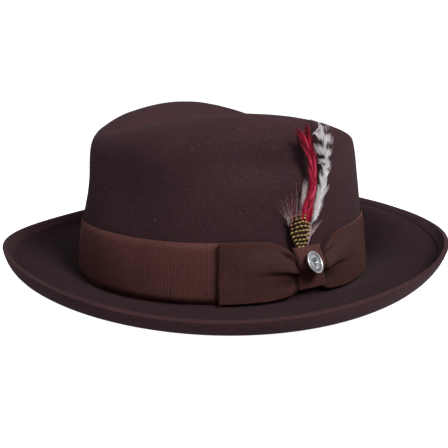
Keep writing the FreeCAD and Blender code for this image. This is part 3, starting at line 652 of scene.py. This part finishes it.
# ---- ribbon, bow and knot ----
def gathered(low, high, pinch_low, pinch_high, spread, tuck):
    """Edge heights of a ribbon that the knot gathers over spread, and tucks in behind itself."""
    def edges(along):
        lift = BAND_BACK_LIFT * np.maximum(0.0, np.sin(along / MM_PER_RADIAN)) ** 2
        near = bump(along, KNOT_AT, spread)
        hidden = tuck * bump(along, KNOT_AT, spread / 2)
        return low + lift + pinch_low * near + hidden, high + lift - pinch_high * near - hidden

    return edges


BAND_EDGES = gathered(BAND_LOW, BAND_HIGH, pinch_low=8.5, pinch_high=16.5, spread=17.0, tuck=0.0)
LOOP_EDGES = gathered(LOOP_LOW, LOOP_HIGH, pinch_low=4.0, pinch_high=14.0, spread=16.0, tuck=4.5)


def resample(path, spacing):
    """A polyline resampled evenly."""
    path = np.asarray(path, float)
    lengths = np.concatenate([[0], np.cumsum(np.linalg.norm(np.diff(path, axis=0), axis=1))])
    count = max(8, int(lengths[-1] / spacing))
    goal = np.linspace(0, lengths[-1], count)
    return np.stack([np.interp(goal, lengths, path[:, axis]) for axis in range(path.shape[1])], -1), goal


def ribs_at(lengths):
    """1 on top of each rib and 0 in the grooves, at lengths along a ribbon."""
    return 0.5 + 0.5 * np.cos(lengths / RIB_PITCH * TURN)


def ribbon_mesh(name, middle, normal, half, ribs, shades, replaced):
    """A closed thin piece, half thick to each side of its (along, height, out) middle, with its paint."""
    nets = [on_wall(*[m + n * side for m, n in zip(middle, normal)]) for side in (half, -half)]
    shape = nets[0].shape[:2]
    points = np.concatenate([net.reshape(-1, 3) for net in nets])
    piece = add_mesh(name, points, sheet_faces(*shape), "hat", "ribbon", RIBBON_MATERIAL, replaced)
    for key, values in (("rib", ribs), ("shade", shades)):
        paint(piece, key, np.tile(np.broadcast_to(values, shape).ravel(), 2))
    return piece


def ribbon_piece(name, path, edges, relief, shade, replaced, rows):
    """A ribbed ribbon along a path of (along, out) points, with real ribs across it."""
    line, lengths = resample(path, RIB_PITCH / POINTS_PER_RIB)
    along, out = line.T
    ahead, outward = unit(np.gradient(line, axis=0)).T
    ribs = ribs_at(lengths)
    share = np.linspace(0, 1, rows)[:, None]
    low, high = edges(along)
    middle = along, low + (high - low) * share, out + relief(along, share, lengths / lengths[-1])
    full = smooth(np.minimum(share, 1 - share) / EDGE_SHARE)
    half = RIBBON / 2 - EDGE_THINNER * (1 - full) + (ribs - 0.5) * RIB_HEIGHT
    return ribbon_mesh(name, middle, (-outward, 0, ahead), half, ribs, shade(along, share), replaced)


def band_piece():
    """The band runs once round the crown, and its ends meet behind the knot."""
    first, last = KNOT_AT + BAND_GAP, KNOT_AT + AROUND - BAND_GAP
    path = [(along, BAND_OUT) for along in np.linspace(first, last, PATH_POINTS)]

    def edges(along):
        return BAND_EDGES(np.where(along > KNOT_AT + AROUND / 2, along - AROUND, along))

    def relief(along, share, place):
        return 0.10 * np.sin(along / 17.0) * share + 0.06 * np.sin(along / 5.3 + 2)

    # Painted light over the whole band.
    def shade(along, share):
        return BAND_PAINTED_LIGHT

    piece = ribbon_piece("hat_ribbon", path, edges, relief, shade, ["hat_band"], rows=9)


def slow_noise(along, share, seed):
    """Slow noise over a ribbon, from -1 to 1."""
    total = np.sin(along * 0.23 + share * 5.1 + seed) + np.sin(along * 0.11 - share * 7.7 + seed * 2.3)
    return (total + np.sin(along * 0.41 + share * 2.9 + seed * 4.1)) / 3


def loop_piece(name, fold, node_name, seed, crest, tone, painted_top_shade):
    """One loop of the bow: two leaves joined by a fold, creased along its middle near the knot."""
    side = 1 if fold > KNOT_AT else -1
    reach = abs(fold - KNOT_AT)
    near, far = KNOT_AT + side * LOOP_END, fold - side
    path = [
        (near, LOOP_BACK_OUT), (far, LOOP_BACK_OUT), (fold, LOOP_BACK_OUT + FOLD_ROUND),
        (fold + side * FOLD_BULGE, (LOOP_BACK_OUT + LOOP_FRONT_OUT) / 2),
        (fold, LOOP_FRONT_OUT - FOLD_ROUND), (far, LOOP_FRONT_OUT), (near, LOOP_FRONT_OUT),
    ]
    path, _ = resample(path, 0.4)

    def relief(along, share, place):
        front = smooth((place - 0.5) * 60)
        away = np.abs(along - KNOT_AT)
        crease_at = CREASE_AT + 0.02 * bump(away, 10, 12)
        above, below = (1 - share) / (1 - crease_at), share / crease_at
        over = share > crease_at
        sharp_fold = smooth(np.where(over, above, (below - CREASE_FOOT) / (1 - CREASE_FOOT)))
        round_fold = 0.5 - 0.5 * np.cos(math.pi * np.where(over, above, below))
        sharp = bump(away, 8, 26)
        rise = CREASE_RISE * crest * bump(away, 14, 20) * np.clip((away - 3) / 8, 0, 1)
        body = rise * (sharp_fold * sharp + round_fold * (1 - sharp))
        body = body + LOOP_SWELL * bump(away, reach * 0.6, 16) * round_fold
        body = body * np.clip((reach - away) / 12, 0, 1)
        body = body + 0.5 * bump(share, 0.12, 0.12) * bump(away, 14, 10)
        wave = slow_noise(along, share, seed)
        folds = 0.42 * np.sin((share * 15 + wave * 4) + seed) * bump(away, 10, 5) * smooth(share * 4)
        soft = 0.22 * wave * bump(away, reach * 0.5, reach * 0.5)
        for height, middle, wander, tall, start, long in CRUMPLES:
            folds = folds + height * bump(share, middle + wander * wave, tall) * bump(away, start, long)
        return front * (body + folds + soft)

    # Painted shade: the tone darkens the whole loop, and more shade is painted at its top, under the crease
    # and beside the knot.
    def shade(along, share):
        away = np.abs(along - KNOT_AT)
        crease_painted_shade = 0.72 * bump(share, CREASE_AT - 0.20, 0.12) * bump(away, 11, 9)
        knot_painted_shadow = 0.6 * (1 - smooth((away - 9.0) / 3.5))
        top_painted_shade = painted_top_shade * smooth((share - 0.30) / 0.4)
        return tone * (1 - top_painted_shade) * (1 - crease_painted_shade) * (1 - knot_painted_shadow)

    piece = ribbon_piece(name, path, LOOP_EDGES, relief, shade, [node_name], rows=56)


def knot_piece():
    """The knot's wrap follows a path of (height, out) places over the bow's middle."""
    line, lengths = resample(curve(KNOT_PATH, PATH_POINTS), RIB_PITCH / POINTS_PER_RIB)
    upward, outward = unit(np.gradient(line, axis=0)).T[..., None]
    height, out = line.T[..., None]
    share = np.linspace(0, 1, KNOT_COLUMNS)[None, :]
    width = KNOT_FOOT_WIDTH + (KNOT_TOP_WIDTH - KNOT_FOOT_WIDTH) * (height - KNOT_FOOT_HEIGHT) / KNOT_TALL
    waist = KNOT_WAIST * bump(height, KNOT_WAIST_HEIGHT, KNOT_WAIST_TALL) * (1 - share)
    along = KNOT_AT + KNOT_LEAN * (height - KNOT_MIDDLE_HEIGHT) + (share - 0.5) * width + waist
    ribs = ribs_at(lengths)[:, None]
    front = smooth((out - 4.6) / 1.5)
    sag = 1.5 * (2 * share - 1) ** 2 * bump(height, 23, 9)
    sag = sag + 1.2 * front * (1 - smooth(share * 9)) + 0.9 * front * (1 - smooth((1 - share) * 9))
    sag = sag + 0.35 * front * np.sin(share * 6.5 + height * 0.10) * bump(height, 27, 8)
    half = RIBBON / 2 + (ribs - 0.5) * RIB_HEIGHT
    # Painted light on the upper wrap, and a painted shadow along its edge by the front loop.
    top_painted_light = 0.06 * smooth((height - 20.0) / 4.0)
    side_painted_shadow = 0.6 * (1 - smooth(share * 12))
    shades = (KNOT_PAINTED_SHADE + top_painted_light) * (1 - side_painted_shadow)
    middle, normal = (along, height, out - sag), (0, -outward, upward)
    piece = ribbon_mesh("bow_wrap", middle, normal, half, ribs, shades, ["bow_knot"])


# ---- strands: feathers and wisps ----
def strands_piece(name, strands, slot, material_used, replaced):
    """One mesh of many tapered three-sided strands on the spray: each is (points, radius, tone)."""
    points, faces, tones = [], [], []
    for line, radius, tone in strands:
        count, start = len(line), len(points)
        ahead = unit(np.gradient(line, axis=0))
        across = unit(np.cross(ahead, unit(line[0] * [1, 1, 0])))
        over = np.cross(across, ahead)
        size = radius * (1 - np.linspace(0, 1, count) ** 2 * 0.85)
        for i in range(count):
            for spin in range(3):
                turn = spin * TURN / 3 + math.pi / 2
                offset = across[i] * math.cos(turn) * size[i] + over[i] * math.sin(turn) * size[i] * 0.5
                points.append(line[i] + offset)
            tones += [tone if np.isscalar(tone) else tone[i]] * 3
        faces += grid_faces(count, 3, closed_columns=True, start=start)
        end = start + (count - 1) * 3
        faces += [[start + 2, start + 1, start], [end, end + 1, end + 2]]
    piece = add_mesh(name, points, faces, "feather", slot, material_used, replaced)
    paint(piece, "tone", tones)


def plume_strands(spine, half_width, tone, seed, clumps, per_clump, radius, barb, loose, lift, foot=0.0):
    """Barbs that leave a spine on both sides in clumps, and sweep forward to the plume's outline.

    barb is their length for each unit of the spine's; loose, lift and foot are how far they stray
    sideways, stand out and splay at the foot.
    """
    rng = random.Random(seed)
    vary = rng.uniform
    line = curve(spine, SPINE_POINTS)
    ahead = unit(np.gradient(line[:, :2], axis=0))
    across = np.stack([ahead[:, 1], -ahead[:, 0]], -1)
    made = []
    for i in range(clumps * 2):
        side = 1 if i % 2 else -1
        clump_start = (i / 2 + rng.random()) / clumps * (1 - barb * 0.6) - 0.03
        clump_reach, clump_long = vary(0.45, 1.1), barb * vary(0.6, 1.2)
        clump_bend, clump_stray = vary(0.75, 1.4), vary(-loose, loose)
        clump_rise, clump_shade = vary(0.0, 1.0), vary(-1.0, 1.0)
        for _ in range(per_clump):
            start = clump_start + vary(-0.025, 0.025)
            long = clump_long * vary(0.8, 1.15)
            reach = clump_reach + vary(-0.10, 0.10)
            stray = clump_stray + vary(-0.25, 0.25) * loose
            level = min(1.0, max(-0.2, clump_rise + vary(-0.35, 0.35)))
            steps, tones = [], []
            for f in np.linspace(0, 1, BARB_POINTS):
                share = clamp(start + long * f)
                k = int(share * (SPINE_POINTS - 1))
                beyond = max(0.0, start + long * f - 1.0) * TIP_STRETCH
                sideways = side * half_width(share) * reach * f ** clump_bend + stray * f * f
                sideways += foot * (clump_reach - MIDDLE_REACH) * max(0.0, 1 - share * 4)
                place = line[k, :2] + across[k] * sideways + ahead[k] * beyond
                steps.append((*place, line[k, 2] + level * lift * math.sin(math.pi * min(f, 0.75))))
                tones.append(tone(share, side * reach * f, level, clump_shade, rng))
            made.append((on_wall(*np.array(steps).T), radius * vary(0.75, 1.25), tones))
    shaft = line[:-20:8] + [0, 0, 0.15]
    made.append((on_wall(*shaft.T), radius * 2.0, 0.3))
    return made


def red_plume():
    def half_width(share):
        foot, middle, tip = bump(share, 0.02, 0.22), bump(share, 0.45, 0.2), smooth((share - 0.62) / 0.38)
        return 2.5 + 3.6 * foot + 0.4 * middle + 3.4 * tip

    def tone(share, sideways, level, shade, rng):
        dark_tip = 0.34 * smooth((share - 0.60) / 0.40)
        # Painted light and shade: strands that stand out of the clump are lighter and low ones darker.
        return clamp(0.54 + 0.45 * (level - 0.5) + 0.26 * shade - dark_tip + rng.uniform(-0.16, 0.16))

    strands = plume_strands(
        RED_SPINE, half_width, tone, seed=11, clumps=36, per_clump=12, radius=0.16,
        barb=0.22, loose=1.2, lift=1.6, foot=9.0,
    )
    strands_piece("red_feather", strands, "red_feather", RED_MATERIAL, ["red_plume"])


def speckled_plume():
    def half_width(share):
        return 1.7 + 2.0 * smooth(share / 0.4) + 4.4 * smooth((share - 0.5) / 0.3)

    def tone(share, sideways, level, shade, rng):
        leaning = share + 0.05 * sideways
        bars = sum(strength * bump(leaning, middle, spread) for middle, spread, strength in DARK_BARS)
        edge = 0.30 + 0.70 * smooth((abs(sideways - 0.15) - 0.05) / 0.4)
        # Painted shade: strands that lie low in the clump are darker.
        under = 0.30 * (0.30 - level)
        return clamp(1.1 * bars * edge + under + 0.10 * shade + rng.uniform(-0.10, 0.12))

    strands = plume_strands(
        SPECKLED_SPINE, half_width, tone, seed=23, clumps=40, per_clump=10, radius=0.15,
        barb=0.17, loose=2.0, lift=1.7,
    )
    strands_piece("speckled_feather", strands, "speckled_feather", SPECKLED_MATERIAL, ["speckled_plume"])


def wisps(name, node_name, seed, tufts):
    """Loose tufts of hairs: each is (start, end, count, spreads at both, radius, tone range)."""
    rng = random.Random(seed)
    vary = rng.uniform
    strands = []
    for start, end, count, spread, radius, tone_range in tufts:
        start, end = np.array(start), np.array(end)
        for _ in range(count):
            a = start + [vary(-spread[0], spread[0]), vary(-1.2, 1.2), vary(-0.2, 0.3)]
            b = a + (end - start) * vary(0.5, 1.05)
            b += [rng.gauss(0, spread[1] * 0.6), vary(-1.0, 1.0), vary(0, 0.9)]
            middle = (a + b) / 2 + [vary(-0.8, 0.8), 0, vary(0, 0.6)]
            place = on_wall(*curve([a, middle, b], HAIR_POINTS).T)
            strands.append((place, radius * vary(0.7, 1.3), vary(*tone_range)))
    strands_piece(name, strands, "white_feather", WHITE_MATERIAL, [node_name])


def scale_feather(along, height, out, fan, wide):
    """One short feather with a round tip: its outer and inner points, and how near each is to its edge."""
    points, edges = [], []
    for layer in (0, 1):
        for f in np.linspace(0, 1, SCALE_LENGTH_STEPS):
            tip = max(0.0, (f - SCALE_TIP) / (1 - SCALE_TIP))
            outline = wide * math.sqrt(max(0.01, 1 - tip ** 2)) * (0.45 + 0.55 * min(1, f * 2))
            for g in np.linspace(-1, 1, SCALE_WIDTH_STEPS):
                x, y = g * outline, (f - 1) * SCALE_LENGTH
                place = along + x * math.cos(fan) + y * math.sin(fan)
                level = height + y * math.cos(fan) - x * math.sin(fan)
                curl = 0.55 * f ** 3 - 0.5 * (x / wide) ** 2 - 0.9 * (1 - f)
                points.append(on_wall(place, level, out + curl - SCALE_THICK * layer))
                edges.append(math.sqrt(tip ** 2 + (x / wide) ** 2) - 0.72 * (x / wide) ** 2)
    return points, edges


def scale_feathers():
    """The base of the spray: short feathers laid like roof scales, their round tips up and fanned out."""
    rng = random.Random(5)
    vary = rng.uniform
    points, faces, tones, ends = [], [], [], []
    for row in range(SCALE_ROWS):
        half = 2.2 + 5.6 * math.sin(math.pi / 2 * min(1.0, (row + 0.3) / 5.2))
        count = max(1, int(round(2 * half / SCALE_APART)))
        count += (row + count) % 2
        for i in range(count):
            across = ((i + 0.5) / count - 0.5) * 2 * half
            arch = 2.3 * (1 - (across / 7.5) ** 2) * smooth((row - 1) / 5) - 1.2 * (1 - row / 8)
            out = 3.1 + 1.7 * (1 - (across / 10) ** 2) * smooth((row + 2) / 5) + 0.07 * (SCALE_ROWS - row)
            height = SCALE_LOW + row * SCALE_STEP + arch + vary(-0.15, 0.15)
            out += vary(-0.08, 0.08)
            made, edges = scale_feather(STEM_ALONG + across, height, out, across / 15, vary(1.55, 1.75))
            faces += sheet_faces(SCALE_LENGTH_STEPS, SCALE_WIDTH_STEPS, start=len(points))
            points += made
            tones += edges
            ends += [clamp(0.40 - across / 13 + (row - 6) * 0.14 + vary(-0.08, 0.08))] * len(made)
    piece = add_mesh(
        "feather_scales_fan", points, faces, "feather", "scale_feather", SCALE_MATERIAL, ["feather_scales"]
    )
    paint(piece, "tone", tones)
    paint(piece, "red", ends)


# ---- badge ----
# Turned profiles as (radius, height) from the back of the pin.
RIM_PROFILE = [
    (0.6, 0.0), (6.6, 0.0), (6.9, 0.12), (7.0, 0.5), (6.95, 0.9), (6.75, 1.15),
    (6.5, 1.22), (6.25, 1.12), (6.12, 0.85), (6.08, 0.42), (0.6, 0.42),
]
FACE_PROFILE = [
    (0.02, 0.45), (6.0, 0.45), (6.0, 0.78), (5.75, 0.84), (5.55, 0.84),
    (5.4, 0.72), (5.15, 0.72), (5.0, 0.84), (0.02, 0.86),
]
LATHE_STEPS = 96
MARK_RINGS, RING_LOW, RING_HIGH = ((5.27, 0.1), (4.75, 0.09)), 0.80, 0.90  # (radius, half width)
MARK_LOW, MARK_HIGH = 0.84, 0.98
PETALS, PETAL_STEPS, PETAL_AT, PETAL_HALF_LONG, PETAL_HALF_WIDE, PETAL_HOLE = 4, 28, 2.3, 1.45, 0.95, 0.62

BADGE_JOINT = next(joint for joint in frame["joints"] if joint["name"] == "badge_spin")
BADGE_MIDDLE, BADGE_FACING = Vector(BADGE_JOINT["pos_m"]) / MM, Vector(BADGE_JOINT["axis"]).normalized()
BADGE_SIDE = Vector((-BADGE_FACING.y, BADGE_FACING.x, 0)).normalized()
BADGE_UP = BADGE_FACING.cross(BADGE_SIDE)


def badge_point(x, y, height):
    """A place x to the side and y up from the pin's middle, at a height in front of its back."""
    return BADGE_MIDDLE + BADGE_FACING * height + BADGE_SIDE * x + BADGE_UP * y


def lathe(profile, start=0):
    """Points and faces of a profile of (radius, height) turned about the pin's axis."""
    turns = [TURN * k / LATHE_STEPS for k in range(LATHE_STEPS)]
    points = [badge_point(r * math.cos(t), r * math.sin(t), height) for r, height in profile for t in turns]
    return points, grid_faces(len(profile), LATHE_STEPS, closed_columns=True, closed_rows=True, start=start)


def badge_pieces():
    """The pin: a turned rim and face, and a raised rosette of four petals inside two fine rings."""
    add_mesh("badge_dish", *lathe(RIM_PROFILE), "badge", "silver", SILVER_MATERIAL, ["badge_rim"])
    add_mesh("badge_plate", *lathe(FACE_PROFILE), "badge", "silver_face", FACE_MATERIAL, ["badge_face"])
    points, faces = [], []
    for radius, half in MARK_RINGS:
        inner, outer = radius - half, radius + half
        square = [(inner, RING_LOW), (outer, RING_LOW), (outer, RING_HIGH), (inner, RING_HIGH)]
        ring, ring_faces = lathe(square, start=len(points))
        points += ring
        faces += ring_faces
    petal_section = ((1.0, MARK_LOW), (1.0, MARK_HIGH), (PETAL_HOLE, MARK_HIGH), (PETAL_HOLE, MARK_LOW))
    for petal in range(PETALS):
        spin = TURN * petal / PETALS + math.pi / 4
        faces += grid_faces(PETAL_STEPS, 4, closed_columns=True, closed_rows=True, start=len(points))
        for i in range(PETAL_STEPS):
            turn = TURN * i / PETAL_STEPS
            for inner, height in petal_section:
                r = PETAL_AT + PETAL_HALF_LONG * math.cos(turn) * inner
                a = PETAL_HALF_WIDE * math.sin(turn) * inner
                x, y = r * math.cos(spin) - a * math.sin(spin), r * math.sin(spin) + a * math.cos(spin)
                points.append(badge_point(x, y, height))
    add_mesh("badge_rosette", points, faces, "badge", "silver", MARK_MATERIAL, ["badge_emblem"])


# ---- CAD nodes that keep their shape ----
DRESSED = (
    (("tack_stitches", "sweatband_stitches", "feather_binding"), THREAD_MATERIAL),
    (("badge_post", "badge_clutch", "feather_stem"), WIRE_MATERIAL),
    (("lining_side", "lining_tip"), LINING_MATERIAL),
    (("sweatband",), LEATHER_MATERIAL),
    (("bow_backing",), plain_material("ribbon_back", (0.070, 0.024, 0.021), 0.8, 2500)),
    (("sweatband_reed",), plain_material("reed_plastic", (0.55, 0.5, 0.42), 0.5)),
    (("reed_casing",), plain_material("reed_cloth", (0.05, 0.035, 0.03), 0.9, 2500)),
    (("sweatband_bow",), plain_material("small_bow", (0.05, 0.022, 0.024), 0.6, 2500)),
    (("feather_card",), plain_material("card", (0.02, 0.013, 0.012), 0.9, 1200)),
)


def dress_nodes():
    for names, material_used in DRESSED:
        for name in names:
            materials = frame["nodes"][name].data.materials
            materials.clear()
            materials.append(material_used)


# ---- stage ----
CAMERA_PLACE = Vector((0.41612, -0.21111, 0.14725))
CAMERA_LOOK = Vector((-0.86440, 0.43841, -0.24618))
CAMERA_ROLL = math.radians(0.34)
CAMERA_LENS = 54.59
SKY_LOW, SKY_OVERHEAD = 0.30, 0.22
FLOOR_BOUNCE = 0.60  # the floor sends little light up, but looks white
FLOOR, FLOOR_LEVEL = 6.0, -0.0005
LAMPS_AIM = Vector((0, 0, 0.05))
LAMPS = (  # (name, place, size, power)
    ("key", (1.05, 0.28, 1.12), 0.50, 18.0),
    ("fill", (0.3, -0.9, 1.4), 0.9, 3.0),
    ("glint", (0.2, 1.3, 0.5), 0.8, 2.0),
)


def studio_world():
    """White where the camera sees it; as a light, dim near the horizon and dimmer overhead."""
    world = bpy.data.worlds.new("studio")
    world.use_nodes = True
    tree = world.node_tree
    split = node(tree, "SeparateXYZ")
    tree.links.new(node(tree, "TexCoord").outputs["Generated"], split.inputs["Vector"])
    colour = ramp(tree, split.outputs["Z"], [(0.06, grey(SKY_LOW)), (0.30, grey(SKY_OVERHEAD))])
    seen = node(tree, "LightPath").outputs["Is Camera Ray"]
    tree.links.new(mix(tree, colour, grey(1.0), seen), tree.nodes["Background"].inputs["Color"])
    return world


def studio_floor():
    mesh = bpy.data.meshes.new("floor")
    corners = [(-FLOOR, -FLOOR, 0), (FLOOR, -FLOOR, 0), (FLOOR, FLOOR, 0), (-FLOOR, FLOOR, 0)]
    mesh.from_pydata(corners, [], [(0, 1, 2, 3)])
    floor = new_object("floor", mesh)
    floor.location.z = FLOOR_LEVEL
    made, tree = material("pale_floor", grey(FLOOR_BOUNCE), 0.9, Emission_Color=(1, 1, 1, 1))
    seen = node(tree, "LightPath").outputs["Is Camera Ray"]
    tree.links.new(seen, tree.nodes["Principled BSDF"].inputs["Emission Strength"])
    mesh.materials.append(made)


def stage():
    scene = bpy.context.scene
    camera = new_object("camera", bpy.data.cameras.new("camera"))
    camera.data.lens = CAMERA_LENS
    camera.data.sensor_width = 36.0
    camera.data.clip_start = 0.01
    look = CAMERA_LOOK.to_track_quat("-Z", "Y").to_matrix().to_4x4()
    camera.matrix_world = Matrix.Translation(CAMERA_PLACE) @ look @ Matrix.Rotation(CAMERA_ROLL, 4, "Z")
    scene.camera = camera
    scene.world = studio_world()
    studio_floor()
    for name, place, size, power in LAMPS:
        lamp = bpy.data.lights.new(name, "AREA")
        lamp.size = size
        lamp.energy = power
        light = new_object(name, lamp)
        light.location = place
        light.rotation_euler = (LAMPS_AIM - Vector(place)).to_track_quat("-Z", "Y").to_euler()
    scene.view_settings.view_transform = "Standard"


def main():
    stage()
    felt_piece()
    band_piece()
    # The tone and the top share are painted shade: each loop darker all over, and darker still towards its
    # top.
    loop_piece("bow_front", FRONT_FOLD, "bow_front_loop", seed=1, crest=1.0, tone=0.84, painted_top_shade=0.30)
    loop_piece("bow_rear", REAR_FOLD, "bow_rear_loop", seed=4, crest=1.3, tone=0.76, painted_top_shade=0.18)
    knot_piece()
    scale_feathers()
    red_plume()
    speckled_plume()
    wisps("white_down", "white_fluff", 3, [
        ((5.2, 60.0, 4.0), (7.6, 76.0, 4.8), 40, (0.9, 1.7), 0.11, (0.0, 0.35)),
        ((4.4, 52.0, 4.0), (5.2, 65.0, 4.8), 12, (1.2, 1.2), 0.09, (0.2, 0.8)),
    ])
    wisps("pale_wisps_front", "front_wisps", 7, [
        ((-3.2, 49.5, 3.8), (-6.0, 57.0, 4.4), 8, (1.2, 1.2), 0.12, (0.0, 0.35)),
        ((-3.2, 51.0, 3.8), (-9.6, 65.5, 4.8), 10, (1.4, 2.4), 0.075, (0.1, 0.6)),
        ((-0.8, 52.0, 4.0), (-3.6, 69.0, 5.2), 24, (2.2, 3.2), 0.08, (0.55, 1.0)),
        ((1.8, 52.0, 4.3), (2.8, 74.0, 5.6), 14, (2.0, 2.4), 0.07, (0.2, 0.95)),
    ])
    wisps("pale_wisps_rear", "rear_wisps", 9, [
        ((8.3, 36.4, 3.6), (11.8, 50.0, 3.6), 60, (0.6, 1.0), 0.15, (0.05, 0.6)),
        ((12.6, 52.0, 3.8), (20.0, 60.5, 4.6), 34, (0.9, 1.6), 0.12, (0.0, 0.4)),
        ((10.0, 41.0, 3.4), (18.5, 50.0, 3.8), 16, (0.8, 3.5), 0.07, (0.05, 0.5)),
    ])
    badge_pieces()
    dress_nodes()


main()
